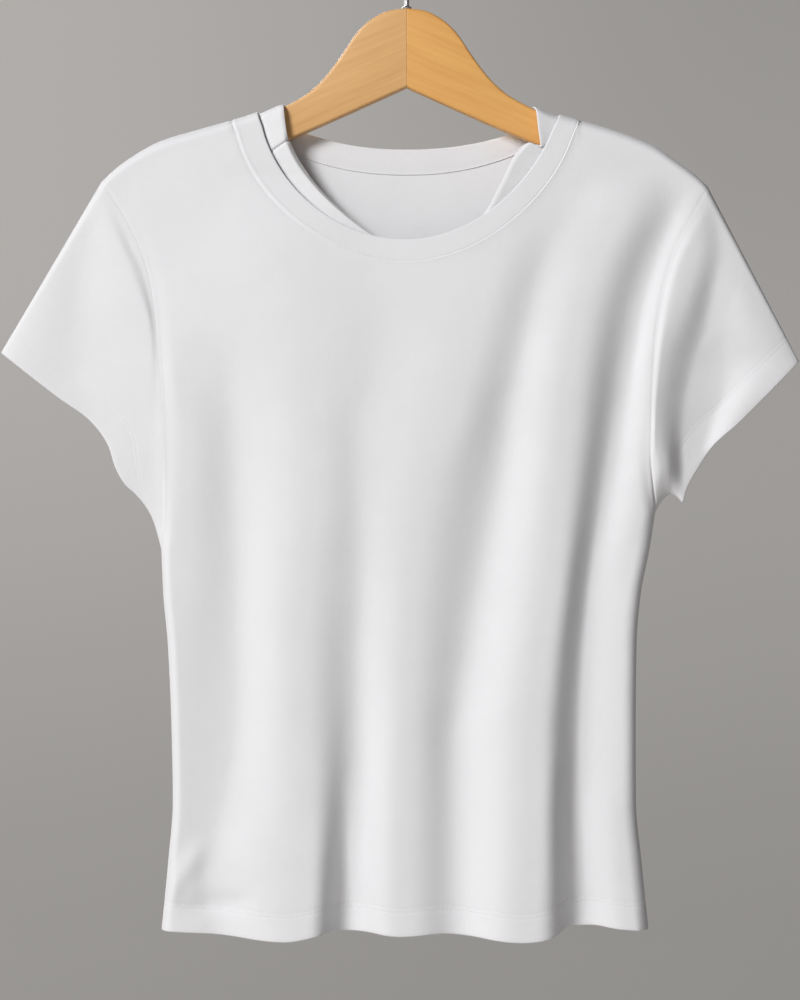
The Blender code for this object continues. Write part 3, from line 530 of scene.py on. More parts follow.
def neck_half(edge, half, turn):
    reach = getattr(edge, half)
    start = float(read(SHOULDERS, reach, half))
    fall = getattr(edge, "fall_" + half)
    below = (edge.low - start) * np.sin(turn) ** (2.0 / fall)
    lean = NECK_LEAN * np.maximum(1.0 - below / NECK_LEAN_HEIGHT, 0.0)
    start_lean = float(read(SHOULDERS, reach + NECK_LEAN, half)) - start
    return (reach * np.maximum(np.cos(turn), 0.0) ** (2.0 / edge.round) + lean,
            start + below + start_lean * lean / NECK_LEAN)


# ------------------------------------------------------------------ cloth

def alone(piece):
    """Selects one object and nothing else."""
    bpy.ops.object.select_all(action="DESELECT")
    piece.select_set(True)
    bpy.context.view_layer.objects.active = piece


def new_piece(name, points, faces, surface):
    """An object with a mesh from millimetre points, selected alone."""
    mesh = bpy.data.meshes.new(name)
    mesh.from_pydata((points * MM).tolist(), [], faces)
    mesh.materials.append(surface)
    piece = bpy.data.objects.new(name, mesh)
    bpy.context.scene.collection.objects.link(piece)
    alone(piece)
    return piece


def lay_cloth(name, grid, cloth_uv, surface, outside, closed=False):
    """One layer of cloth through a grid of millimetre points, given its thickness.

    A closed piece joins its last column to its first. cloth_uv has one more column then.
    outside holds rough outward directions, which decide which way the faces point.
    """
    rows, columns = grid.shape[:2]
    wide = columns if closed else columns - 1
    row, column = np.meshgrid(np.arange(rows - 1), np.arange(wide), indexing="ij")
    beside = (column + 1) % columns
    quads = np.stack([row * columns + column, row * columns + beside,
                      (row + 1) * columns + beside, (row + 1) * columns + column], axis=-1)
    corners = np.stack([cloth_uv[row, column], cloth_uv[row, column + 1],
                        cloth_uv[row + 1, column + 1], cloth_uv[row + 1, column]], axis=2)
    quads, corners = quads.reshape(-1, 4), corners.reshape(-1, 4, 2) * MM
    points = grid.reshape(-1, 3)
    across = points[quads[:, 1]] - points[quads[:, 0]]
    up = points[quads[:, 3]] - points[quads[:, 0]]
    if np.sum(np.cross(across, up) * outside.reshape(-1, 3)[quads[:, 0]]) < 0:
        quads, corners = quads[:, ::-1], corners[:, ::-1]
    piece = new_piece(name, points, quads.tolist(), surface)
    layer = piece.data.uv_layers.new(name="cloth")
    layer.data.foreach_set("uv", np.ascontiguousarray(corners).ravel())
    layers = piece.modifiers.new("thickness", "SOLIDIFY")
    layers.thickness = JERSEY * MM
    layers.offset = 0.0
    layers.use_rim = True
    bpy.ops.object.modifier_apply(modifier=layers.name)
    bpy.ops.object.shade_smooth()
    return piece


def run_along(points):
    """Length along a row of points up to each of them."""
    steps = np.linalg.norm(np.diff(points, axis=0), axis=-1)
    return np.concatenate([[0.0], np.cumsum(steps)])


def strip_uv(grid, run, way=1.0):
    """A strip's own coordinates: how far along it, and how far across it row by row."""
    steps = np.linalg.norm(np.diff(grid, axis=0), axis=-1).mean(axis=1)
    across = way * np.concatenate([[0.0], np.cumsum(steps)])
    return np.stack(np.broadcast_arrays(run[None], across[:, None]), axis=-1)


def edge_way(edge, inside, normal, closed=False):
    """Unit vectors that point off a cloth's edge, square to the normals and along the surface."""
    if closed:
        run = unit(np.roll(edge, -1, axis=0) - np.roll(edge, 1, axis=0))
    else:
        run = unit(np.gradient(edge, axis=0))
    way = edge - inside
    way = way - normal * np.sum(way * normal, axis=-1, keepdims=True)
    way = way - run * np.sum(way * run, axis=-1, keepdims=True)
    return unit(way)


def turned_in(edge, normal, way, allowance):
    """Rows of points that roll from a cloth's edge into the shirt and go on as an allowance."""
    rolled = [edge + way * ROLL * math.sin(turn) - normal * ROLL * (1.0 - math.cos(turn))
              for turn in (math.pi / 6.0, math.pi / 3.0, math.pi / 2.0)]
    return np.array(rolled + [edge + way * ROLL - normal * (ROLL + allowance * share)
                              for share in (0.35, 1.0)])


def turned_over(edge, normal, way, radius):
    """Rows of points on the round where cloth folds back behind itself."""
    turns = [math.pi * share / (FOLD_ROWS + 1) for share in range(1, FOLD_ROWS + 1)]
    return np.array([edge + normal * radius * (math.cos(turn) - 1.0)
                     + way * radius * math.sin(turn) for turn in turns])


def pull_back(points, edge_points, way, pull):
    """Moves cloth near an edge away from it, most at the edge itself."""
    distance = np.linalg.norm(points - edge_points, axis=-1, keepdims=True)
    return points - way * pull * np.exp(-distance / PULL_FADE)


def seam_ridge(points, edge_points):
    """Height of the soft ridge where cloth lies over the allowances beside a seam."""
    distance = np.linalg.norm(points - edge_points, axis=-1, keepdims=True)
    return RIDGE_HIGH * np.exp(-((distance - RIDGE_AT) / RIDGE_WIDE) ** 2)


def neck_rise(points, edge_points):
    """How far the body stands up beside the neck seam."""
    distance = np.linalg.norm(points - edge_points, axis=-1, keepdims=True)
    place = edge_points[..., :1] / FRONT_SEAM.left
    width = read(NECK_RISES, place, "width")
    return read(NECK_RISES, place, "height") * np.exp(-distance / width)


def needle_groove(height, deep):
    """Depth of the two lines that the stitches pull into a hem."""
    return sum(deep * np.exp(-((height - needle) / GROOVE_WIDTH) ** 2) for needle in NEEDLES)


def body_shares():
    """Shares of the reach for a panel's columns, closer together at the side seams."""
    even = np.linspace(-1.0, 1.0, 2 * (SHOULDER_COLUMNS + NECK_COLUMNS) + 1)
    return EVEN_COLUMNS * even + (1.0 - EVEN_COLUMNS) * np.sin(math.pi / 2.0 * even)


def panel_grid(face):
    """Across and drop of a panel's points: rows from the hem up, columns from left to right."""
    neck_across, neck_drop = neck_points(SEAMS[face], NECK_COLUMNS)
    part = np.arange(SHOULDER_COLUMNS) / SHOULDER_COLUMNS
    left_reach, right_reach = (shoulder_point(half)[0] for half in HALVES)
    left = -left_reach + (left_reach + neck_across[0]) * part
    right = (right_reach - (right_reach - neck_across[-1]) * part)[::-1]
    top_across = np.concatenate([left, neck_across, right])
    top_drop = np.concatenate([shoulder_line(left), neck_drop, shoulder_line(right)])
    share = body_shares()
    underarm = np.interp(share, (-1.0, 1.0), (UNDERARM["left"], UNDERARM["right"]))
    hem = read(HEMS, share * SIDES[-1].left, face)
    start = hem - HEM_LEVELS[-1]
    rows_drop = [hem - level for level in HEM_LEVELS]
    rows_drop += [start + (underarm - start) * k / BODY_ROWS for k in range(1, BODY_ROWS)]
    rows_across = [share * read_sides(SIDES, drop, share) for drop in rows_drop]
    low_across = share * read_sides(ARMHOLES, np.zeros(len(share)), share)
    even = (np.arange(YOKE_ROWS + 1) / YOKE_ROWS) ** YOKE_LOW_BUNCH
    for rise in 1.0 - (1.0 - even) ** YOKE_TOP_BUNCH:
        fan = ease(rise)
        across = low_across * (1.0 - fan) + top_across * fan
        reach = read_sides(ARMHOLES, np.full(len(share), rise), share)
        off_seam = reach - np.abs(np.where(share < 0, across[0], across[-1]))
        rows_across.append(across + np.sign(share) * off_seam * np.abs(share) ** SEAM_FOLLOW)
        rows_drop.append(underarm + (top_drop - underarm) * rise)
    return np.array(rows_across), np.array(rows_drop)


def near_seams(face, points, normal, yoke_start):
    """The panel's points with its ridges beside the armholes and the neck, rolled at their seams."""
    share = ease((np.arange(len(points)) - yoke_start) / SEAM_START_ROWS)[:, None, None]
    for end in (0, -1):
        points = points + normal * seam_ridge(points, points[:, end][:, None]) * share
    for end, beside in ((0, 1), (-1, -2)):
        way = edge_way(points[:, end], points[:, beside], normal[:, end])[:, None]
        points = pull_back(points, points[:, end][:, None], way, ARMHOLE_PULL * share)
    run = run_along(points[-1])
    from_corner = np.minimum(run - run[SHOULDER_COLUMNS], run[-SHOULDER_COLUMNS - 1] - run)
    share = ease(from_corner / NECK_CORNER)[None, :, None]
    if face == "front":
        points = points + normal * neck_rise(points, points[-1][None]) * share
    way = edge_way(points[-1], points[-3], normal[-1])
    return pull_back(points, points[-1][None], way[None], NECK_PULL * share)


def make_panel(face, surface):
    """The front or the back, turned in at its sides, armholes, shoulders and neck."""
    across, drop = panel_grid(face)
    points, normal = points_on(face, across, drop), outward(face, across, drop)
    columns = across.shape[1]
    yoke_start = len(across) - YOKE_ROWS - 1
    for end in (0, -1):
        normal[:yoke_start + 1, end] = upright(normal[:yoke_start + 1, end])
    on_shoulder = np.ones(columns, dtype=bool)
    on_shoulder[SHOULDER_COLUMNS + 1:-SHOULDER_COLUMNS - 1] = False
    normal[-1, on_shoulder] = upright(normal[-1, on_shoulder])
    levels = np.array(HEM_LEVELS)
    in_hem = len(levels)
    points[:in_hem] -= normal[:in_hem] * needle_groove(levels, GROOVE)[:, None, None]

    points = near_seams(face, points, normal, yoke_start)

    in_body = np.arange(len(across)) < yoke_start
    allowance = np.where(in_body, SIDE_ALLOWANCE, ARMHOLE_ALLOWANCE)[:, None]
    left, right = (turned_in(points[:, end], normal[:, end],
                             edge_way(points[:, end], points[:, beside], normal[:, end]),
                             allowance) for end, beside in ((0, 1), (-1, -2)))
    extra = len(left)
    points = np.concatenate([left[::-1].swapaxes(0, 1), points, right.swapaxes(0, 1)], axis=1)
    column = np.clip(np.arange(-extra, columns + extra), 0, columns - 1)
    normal, u, v = normal[:, column], across[:, column], -drop[:, column]
    u[:, :extra] -= ALLOWANCE_UV[::-1]
    u[:, -extra:] += ALLOWANCE_UV

    down = edge_way(points[0], points[1], normal[0])
    fold = turned_over(points[0], normal[0], down, HEM_TURN)[::-1]
    way = edge_way(points[-1], points[-3], normal[-1])
    allowance = np.where(on_shoulder, SHOULDER_ALLOWANCE, NECK_ALLOWANCE[face])[column, None]
    top = turned_in(points[-1], normal[-1], way, allowance)
    flap = (points - normal * 2.0 * HEM_TURN)[:in_hem][::-1]
    grid = np.concatenate([flap, fold, points, top])
    row = np.clip(np.arange(-len(fold), len(points) + len(top)), 0, len(points) - 1)
    row = np.concatenate([np.arange(in_hem)[::-1], row])
    out, u, v = normal[row], u[row], v[row]
    out[:in_hem] *= -1.0
    v[:in_hem] = v[in_hem] - math.pi * HEM_TURN - levels[::-1, None]
    over = np.arange(len(fold), 0, -1) / (len(fold) + 1)
    v[in_hem:in_hem + len(fold)] -= math.pi * HEM_TURN * over[:, None]
    v[-len(top):] += ALLOWANCE_UV[:, None]
    return lay_cloth("shirt_" + face, grid, np.stack([u, v], axis=-1), surface, out)


# ------------------------------------------------------------------ sleeves

def sleeve_rises():
    """Rises around the armhole from the shoulder down, closer together at both ends."""
    share = np.linspace(0.0, 1.0, SLEEVE_COLUMNS + 1)
    low, high = share ** SLEEVE_BUNCH, (1.0 - share) ** SLEEVE_BUNCH
    return high / (low + high)


def sleeve_seam(half):
    """Across and drop of the armhole from the shoulder down, and how far along each point is."""
    rises = sleeve_rises()
    drop = UNDERARM[half] + (shoulder_point(half)[1] - UNDERARM[half]) * rises
    return HALF_SIGN[half] * read(ARMHOLES, rises, half), drop, 1.0 - rises


def sleeve_cuff(half, along):
    return HALF_SIGN[half] * read(CUFFS, along, half), read(CUFFS, along, half + "_drop")


def sleeve_sheet(half, face, shares):
    """Points of a sleeve's front or back, rows from its armhole (0) to its cuff (1)."""
    seam_across, seam_drop, along = sleeve_seam(half)
    cuff_across, cuff_drop = sleeve_cuff(half, along)
    across = seam_across * (1.0 - shares) + cuff_across * shares
    middle = 4.0 * shares * (1.0 - shares)
    drop = seam_drop * (1.0 - shares) + cuff_drop * shares
    drop = drop - UNDERARM_TUCK[half] * middle * along ** TUCK_CURVE
    arc = (4.0 * along * (1.0 - along)) ** CUFF_ARC
    depth = (cloth_depth(face, seam_across, seam_drop) * (1.0 - shares)
             + (CUFF_DEPTH[face] * shares + SLEEVE_PUFF * middle) * arc)
    low_end, high_end = sorted(HALF_SIGN[half] * reach for reach in SLEEVE_REACH)
    height = folded(SLEEVE_FOLDS[(face, half)], across, drop,
                    np.full_like(across, low_end), np.full_like(across, high_end), 0.0,
                    SLEEVE_SHARP)
    depth = depth + height * arc ** 2 * ease(shares / SLEEVE_FOLD_START)
    seam_lift = LIFT * ((1.0 - shares) + shares * arc)
    return np.stack([across, FACE_SIGN[face] * (depth + seam_lift), -drop], axis=-1)


def around(front, back):
    """One closed ring of a front row from end to end and a back row on the way home."""
    return np.concatenate([front, back[..., -2:0:-1, :]], axis=-2)


def ring_normals(rings):
    ahead = np.roll(rings, -1, axis=1) - np.roll(rings, 1, axis=1)
    normal = unit(np.cross(ahead, np.gradient(rings, axis=0)))
    middle = rings.mean(axis=1, keepdims=True)
    return -normal if np.sum(normal * (rings - middle)) < 0 else normal


def ring_run(ring):
    """Length around a ring up to each point, with one more for the way home."""
    return run_along(np.concatenate([ring, ring[:1]]))


def make_sleeve(half, surface):
    """A short sleeve: turned in at the armhole and turned up at the cuff."""
    seam_across, seam_drop, along = sleeve_seam(half)
    cuff_across, cuff_drop = sleeve_cuff(half, along)
    length = np.hypot(seam_across - cuff_across, seam_drop - cuff_drop)
    squeeze = np.minimum(1.0, 0.5 * length / HEM_LEVELS[-1])
    levels = np.array(HEM_LEVELS[::-1])
    in_hem = len(levels)
    hem_shares = 1.0 - levels[:, None] * squeeze / length
    shares = hem_shares[0] * np.arange(SLEEVE_ROWS)[:, None] / SLEEVE_ROWS
    shares = np.concatenate([shares, hem_shares])
    rings = around(*(sleeve_sheet(half, face, shares) for face in FACE_SIGN))
    normal = ring_normals(rings)
    rings[-in_hem:] -= normal[-in_hem:] * needle_groove(levels, CUFF_GROOVE)[:, None, None]
    way = edge_way(rings[0], rings[1], normal[0], True)
    rings = pull_back(rings, rings[0][None], way[None], ARMHOLE_PULL)
    way = edge_way(rings[0], rings[1], normal[0], True)
    seam_rows = turned_in(rings[0], normal[0], way, ARMHOLE_ALLOWANCE)[::-1]
    down = edge_way(rings[-1], rings[-2], normal[-1], True)
    fold = turned_over(rings[-1], normal[-1], down, HEM_TURN)
    flap = (rings - normal * 2.0 * HEM_TURN)[-in_hem:][::-1]
    grid = np.concatenate([seam_rows, rings, fold, flap])
    row = np.clip(np.arange(-len(seam_rows), len(rings) + len(fold)), 0, len(rings) - 1)
    row = np.concatenate([row, np.arange(len(rings))[-in_hem:][::-1]])
    out = normal[row]
    out[-in_hem:] *= -1.0
    cloth_uv = strip_uv(grid, ring_run(rings[len(rings) // 2]), -1.0)
    return lay_cloth("sleeve_" + half + "_cloth", grid, cloth_uv, surface, out, True)


# ------------------------------------------------------------------ neckband and facing

def strip(face, across, drop, lift):
    """Points and normals of a strip whose two ends lie on the top line over the arms."""
    drop = np.maximum(drop, shoulder_line(across))
    for column in (0, -1):
        drop[:, column] = shoulder_line(across[:, column])
    points, normal = points_on(face, across, drop), outward(face, across, drop)
    for column in (0, -1):
        points[:, column, 1] = 0.0
        normal[:, column] = upright(normal[:, column])
    return points + normal * lift, normal


def make_neckband(surface):
    """A ring of rib folded double: its two raw edges go into the neck seam."""
    shares = np.array(BAND_SHARES)[:, None]
    sheets, normals = [], []
    for face in FACE_SIGN:
        seam_across, seam_drop = neck_points(SEAMS[face], NECK_COLUMNS * 2)
        free_across, free_drop = neck_points(FREE_EDGES[face], NECK_COLUMNS * 2)
        points, normal = strip(face, seam_across + (free_across - seam_across) * shares,
                               seam_drop + (free_drop - seam_drop) * shares, BAND_PROUD)
        sheets.append(points)
        normals.append(normal)
    middle, normal = around(*sheets), around(*normals)
    way = edge_way(middle[0], middle[2], normal[0], True)
    middle = pull_back(middle, middle[0][None], way[None], NECK_PULL)
    way = edge_way(middle[0], middle[2], normal[0], True)
    from_seam = shares * (FRONT_SEAM.low - FRONT_FREE.low)
    bead = BAND_BEAD * ease(0.2 - middle[0, :, 0] / FRONT_SEAM.left * 2.0)
    tuck = (BAND_TUCK * np.exp(-(from_seam / BAND_TUCK_WIDE) ** 2)
            - bead * np.exp(-((from_seam - BEAD_AT) / BEAD_WIDE) ** 2))[..., None]
    thinned = np.exp(-(shares / BAND_THIN_SHARE) ** 2)[..., None] * BAND_THIN
    outer = middle + normal * (BAND_LAYER - tuck)
    inner = middle - normal * BAND_LAYER * (1.0 - thinned)
    off = edge_way(middle[-1], middle[-3], normal[-1], True)
    fold = turned_over(middle[-1] + normal[-1] * BAND_LAYER, normal[-1], off, BAND_LAYER)
    on_front = np.arange(middle.shape[1]) < sheets[0].shape[1]
    allowance = np.where(on_front, NECK_ALLOWANCE["front"], NECK_ALLOWANCE["back"])[:, None]
    seam_rows = turned_in(outer[0], normal[0], way, allowance)[::-1]
    end_rows = np.array([inner[0] + (way - normal[0] * allowance) * BAND_END * share
                         for share in (0.5, 1.0)])
    grid = np.concatenate([seam_rows, outer, fold, inner[::-1], end_rows])
    row = np.clip(np.arange(-len(seam_rows), len(outer) + len(fold)), 0, len(outer) - 1)
    home = np.clip(np.arange(len(inner) - 1, -1 - len(end_rows), -1), 0, None)
    out = np.concatenate([normal[row], -normal[home]])
    return lay_cloth("rib_neckband", grid, strip_uv(grid, ring_run(middle[0])), surface, out, True)


def make_facing(surface):
    """The strip inside the front neckband, from the top of one arm to the top of the other."""
    count = NECK_COLUMNS * 5
    seam_across, seam_drop = neck_points(FRONT_SEAM, count, FACING_BUNCH)
    free_across, free_drop = neck_points(FRONT_FREE, count, FACING_BUNCH)
    hidden_across = (seam_across + free_across) / 2.0
    hidden_drop = (seam_drop + free_drop) / 2.0
    side = np.arange(2 * count + 1) - count
    column = (count - np.abs(side)) * FACINGS[-1].column / count
    edge_across = np.sign(side) * read_sides(FACINGS, column, side)
    edge_drop = np.where(side < 0, read(FACINGS, column, "left_drop"),
                         read(FACINGS, column, "right_drop"))
    hidden = np.arange(FACING_HIDDEN_ROWS)[:, None] / FACING_HIDDEN_ROWS
    even = np.linspace(0.0, 1.0, FACING_ROWS + 1)[:, None]
    seen = 0.5 * even + 0.5 * ease(even)
    across = np.concatenate([hidden_across + (free_across - hidden_across) * hidden,
                             free_across + (edge_across - free_across) * seen])
    drop = np.concatenate([hidden_drop + (free_drop - hidden_drop) * hidden,
                           free_drop + (edge_drop - free_drop) * seen])
    points, normal = strip("front", across, drop, -FACING_BELOW)
    forward = np.concatenate([hidden * 0.0, seen])
    points = points - normal * facing_relief(points, side, column, forward)[..., None]
    way = edge_way(points[-1], points[-3], normal[-1])
    fold = turned_in(points[-1], normal[-1], way, FACING_TURN)[:4]
    grid = np.concatenate([points, fold])
    out = np.concatenate([normal, np.repeat(normal[-1:], len(fold), axis=0)])
    cloth_uv = strip_uv(grid, run_along(points[0]))
    return lay_cloth("neck_facing_cloth", grid, cloth_uv, surface, out)


def facing_relief(points, side, column, forward):
    """How far the facing lies behind a plain strip: its seams, curl and slot, less its rise."""
    rise, slot, curl = (np.where(side < 0, size["left"], size["right"])
                        for size in (FACING_RISE, FACING_SLOT, FACING_CURL))
    rise = rise * forward ** FACING_RISE_CURVE * plateau(column, *RISE_COLUMNS)
    from_free = np.linalg.norm(points - points[FACING_HIDDEN_ROWS], axis=-1)
    from_free[:FACING_HIDDEN_ROWS] = 0.0
    slot = slot * plateau(column, *SLOT_COLUMNS) * np.exp(-(from_free / FACING_SLOT_WIDE) ** 2)
    from_edge = np.linalg.norm(points - points[-1], axis=-1)
    wide = np.maximum(from_edge[FACING_HIDDEN_ROWS], 0.5) * CURL_SHARE
    wide = np.minimum(FACING_CURL_WIDE, wide)
    curl = curl * np.clip(1.0 - from_edge / wide, 0.0, 1.0) ** CURL_CURVE * wide / FACING_CURL_WIDE
    curl = curl * (CURL_LEAST + (1.0 - CURL_LEAST) * between(column, *CURL_GROWS))
    curl = curl * (1.0 - CURL_DROPS * between(column, *CURL_FADES))
    return facing_seam(points) + curl + slot - rise


def facing_seam(points):
    """Depth of the short seams that cross the facing in front of the arms."""
    total = np.zeros(points.shape[:2])
    place = np.stack([points[..., 0], -points[..., 2]], axis=-1)
    for seam in FACING_SEAMS:
        start = np.array([seam.across, seam.drop])
        run = np.array([seam.end_across, seam.end_drop]) - start
        share = np.clip(np.sum((place - start) * run, axis=-1) / np.dot(run, run), -0.3, 1.6)
        off = np.linalg.norm(place - start - share[..., None] * run, axis=-1)
        total += seam.depth * np.exp(-(off / FACING_SEAM_WIDE) ** 2)
    return total


# ------------------------------------------------------------------ forms in edit mode

def edit_all():
    """Edit mode with every corner selected."""
    bpy.ops.object.mode_set(mode="EDIT")
    bpy.ops.mesh.select_all(action="SELECT")


def pick(piece, wanted):
    """In edit mode, selects the corners whose place fits, and nothing else."""
    bpy.ops.mesh.select_all(action="DESELECT")
    bpy.ops.mesh.select_mode(type="VERT")
    form = bmesh.from_edit_mesh(piece.data)
    for corner in form.verts:
        corner.select = bool(wanted(corner.co))
    form.select_flush(True)
    bmesh.update_edit_mesh(piece.data)


def draw_out(step):
    bpy.ops.mesh.extrude_region_move(TRANSFORM_OT_translate={"value": tuple(step)})


def resize(factors, centre=(0.0, 0.0, 0.0)):
    bpy.ops.transform.resize(value=factors, center_override=tuple(centre))


def finish_form(piece, surface, smooth_degrees):
    """Leaves edit mode with every face turned outward, and edges soft up to an angle."""
    bpy.ops.mesh.normals_make_consistent(inside=False)
    bpy.ops.object.mode_set(mode="OBJECT")
    piece.data.materials.append(surface)
    alone(piece)
    bpy.ops.object.shade_smooth_by_angle(angle=math.radians(smooth_degrees))


# ------------------------------------------------------------------ stitches

def stitch_form():
    """One stitch of thread, 1 mm long and 1 mm wide, on its side along X."""
    bpy.ops.object.select_all(action="DESELECT")
    bpy.ops.mesh.primitive_cylinder_add(vertices=6, radius=0.5, depth=1.0, end_fill_type="NGON",
                                        rotation=(0.0, math.pi / 2.0, 0.0))
    stitch = bpy.context.object
    bpy.ops.object.transform_apply(location=True, rotation=True, scale=True)
    bpy.ops.object.mode_set(mode="EDIT")
    for place in (-STITCH_BEND, STITCH_BEND):
        bpy.ops.mesh.select_all(action="SELECT")
        bpy.ops.mesh.bisect(plane_co=(place, 0.0, 0.0), plane_no=(1.0, 0.0, 0.0))
    pick(stitch, lambda point: abs(point.x) > 0.45)
    resize((1.0, STITCH_TAPER, STITCH_TAPER))
    bpy.ops.transform.translate(value=(0.0, 0.0, -STITCH_DIP))
    bpy.ops.object.mode_set(mode="OBJECT")
    points = np.array([tuple(corner.co) for corner in stitch.data.vertices])
    faces = [list(face.vertices) for face in stitch.data.polygons]
    bpy.data.objects.remove(stitch, do_unlink=True)
    return points, faces


def sew(name, rows, thread):
    """Stitches along rows of places, each with its outward direction, at an even pitch."""
    form, faces = stitch_form()
    points, all_faces = [], []
    for places, normals in rows:
        run = run_along(places)
        count = int(run[-1] / STITCH_PITCH)
        at = (np.arange(count) + 0.5) * run[-1] / count
        for where in at:
            ends = [[np.interp(where + off, run, places[:, k]) for k in range(3)]
                    for off in (-STITCH_LENGTH / 2.0, STITCH_LENGTH / 2.0)]
            middle = (np.array(ends[0]) + np.array(ends[1])) / 2.0
            out = unit(np.array([np.interp(where, run, normals[:, k]) for k in range(3)]))
            along = unit(np.array(ends[1]) - np.array(ends[0]))
            out = unit(out - along * np.dot(out, along))
            beside = np.cross(out, along)
            placed = (middle + form[:, :1] * STITCH_LENGTH * along
                      + form[:, 1:2] * THREAD_WIDE * beside + form[:, 2:3] * THREAD_HIGH * out)
            all_faces += [[k + len(points) * len(form) for k in face] for face in faces]
            points.append(placed)
    piece = new_piece(name, np.concatenate(points), all_faces, thread)
    bpy.ops.object.shade_smooth()
    return piece


def panel_stitches(face, thread):
    """Two rows of stitches above the hem of the front or the back."""
    share = body_shares()
    hem = read(HEMS, share * SIDES[-1].left, face)
    rows = []
    for needle in NEEDLES:
        across, drop = share * read_sides(SIDES, hem - needle, share), hem - needle
        normal = outward(face, across, drop)
        normal[0], normal[-1] = upright(normal[0]), upright(normal[-1])
        lift = JERSEY / 2.0 + THREAD_HIGH * 0.2 - GROOVE
        rows.append((points_on(face, across, drop) + normal * lift, normal))
    return sew("hem_stitches_" + face, rows, thread)


# ------------------------------------------------------------------ the hanger

def make_arm(half, wood):
    """Half of the hanger: its end face is drawn out along the outline, and its edges rounded."""
    sign = HALF_SIGN[half]
    reaches = np.linspace(ARM_GAP, ARM[-1].reach, int(ARM[-1].reach / ARM_STEP) + 1)
    tops, bottoms = read(ARM, reaches, "top"), read(ARM, reaches, "bottom")
    middles, heights = (tops + bottoms) / 2.0, bottoms - tops
    thin = ARM_STEP / 8.0
    bpy.ops.object.select_all(action="DESELECT")
    bpy.ops.mesh.primitive_cube_add(size=1.0)
    arm = bpy.context.object
    arm.name = arm.data.name = "beech_arm_" + half
    edit_all()
    resize((thin * MM, ARM_THICKNESS * MM, heights[0] * MM))
    start = ARM_JOINT + sign * (reaches[0] + thin / 2.0)
    bpy.ops.transform.translate(value=(start * MM, 0.0, -middles[0] * MM))
    end = (ARM_JOINT + sign * (reaches[0] + thin)) * MM
    pick(arm, lambda point: abs(point.x - end) < TINY)
    at = reaches[0] + thin
    for k in range(1, len(reaches)):
        step = (sign * (reaches[k] - at) * MM, 0.0, -(middles[k] - middles[k - 1]) * MM)
        draw_out(step)
        place = ((ARM_JOINT + sign * reaches[k]) * MM, 0.0, -middles[k] * MM)
        resize((1.0, 1.0, heights[k] / heights[k - 1]), place)
        at = reaches[k]
    joint = ARM_JOINT + sign * reaches[0]
    round_edges(arm, True, ARM_TOP_ROUND, 5)
    round_edges(arm, False, ARM_LOW_ROUND, 4)
    pick(arm, lambda point: abs(point.x - joint * MM) < TINY)
    bpy.ops.mesh.bevel(offset=JOINT_BEVEL * MM, segments=2, affect="EDGES")
    bpy.ops.mesh.select_all(action="SELECT")
    finish_form(arm, wood, 50.0)
    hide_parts("hanger_arm_" + half)
    return arm


def round_edges(arm, top, size, segments):
    """Rounds the long edges along the top or the bottom of an arm, front and rear."""
    bpy.ops.mesh.select_all(action="DESELECT")
    bpy.ops.mesh.select_mode(type="EDGE")
    form = bmesh.from_edit_mesh(arm.data)
    form.normal_update()
    for edge in form.edges:
        along = edge.verts[1].co - edge.verts[0].co
        sideways = [abs(face.normal.y) > 0.9 for face in edge.link_faces]
        over = [(face.normal.z > 0.1) == top and abs(face.normal.z) > 0.1
                for face in edge.link_faces]
        edge.select = abs(along.x) > TINY and any(sideways) and any(over)
    bmesh.update_edit_mesh(arm.data)
    bpy.ops.mesh.bevel(offset=size * MM, segments=segments, affect="EDGES", clamp_overlap=False)


def make_hook(steel):
    """The wire is drawn up from its collar, bent to the right, and turned over to its end."""
    radius = (HOOK_INNER + WIRE) / 2.0
    centre = HOOK_INNER / 2.0
    bend_drop = centre + math.sqrt(radius * (radius + 2.0 * HOOK_BEND))
    meet = math.acos(HOOK_BEND / (radius + HOOK_BEND))
    foot = ARM[0].top + COLLAR_SEAT
    bpy.ops.object.select_all(action="DESELECT")
    bpy.ops.mesh.primitive_circle_add(vertices=HOOK_SIDES, radius=COLLAR_RADIUS * MM,
                                      fill_type="NGON", location=(ARM_JOINT * MM, 0.0, -foot * MM))
    hook = bpy.context.object
    hook.name = hook.data.name = "steel_hook"
    bpy.ops.object.transform_apply(location=True, rotation=True, scale=True)
    edit_all()
    up, wide = 0.0, COLLAR_RADIUS
    for height, size in (*COLLAR_RINGS, (foot - bend_drop, WIRE / 2.0)):
        draw_out((0.0, 0.0, (height - up) * MM))
        resize((size / wide, size / wide, 1.0), (ARM_JOINT * MM, 0.0, (height - foot) * MM))
        up, wide = height, size
    bend = ((ARM_JOINT + HOOK_BEND) * MM, 0.0, -bend_drop * MM)
    inside = (ARM_JOINT * MM, 0.0, -centre * MM)
    tip = math.radians(HOOK_END)
    for steps, angle, middle in zip(HOOK_STEPS, (-meet, tip + meet), (bend, inside)):
        bpy.ops.mesh.spin(steps=steps, angle=angle, center=middle, axis=(0.0, 1.0, 0.0))
    onward = Vector((math.sin(tip), 0.0, math.cos(tip))) * -1.0
    place = Vector((ARM_JOINT + radius * math.cos(tip), 0.0, radius * math.sin(tip) - centre))
    for step, wide in HOOK_TIP:
        place = place + onward * step
        draw_out(onward * step * MM)
        resize((wide, wide, wide), place * MM)
    bpy.ops.mesh.select_all(action="SELECT")
    bpy.ops.mesh.remove_doubles(threshold=1e-6)
    finish_form(hook, steel, 35.0)
    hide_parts("hook")
    return hook


# ------------------------------------------------------------------ finishes

COTTON = (0.804, 0.802, 0.810)
COTTON_DARK = (0.789, 0.787, 0.795)
GRAIN_SLOPE = 24.0        # degrees that the grain falls away from the middle, as the arms do
BEECH = {"left": ((0.78, 0.455, 0.185), (0.68, 0.375, 0.14)),
         "right": ((0.84, 0.445, 0.13), (0.74, 0.365, 0.10))}


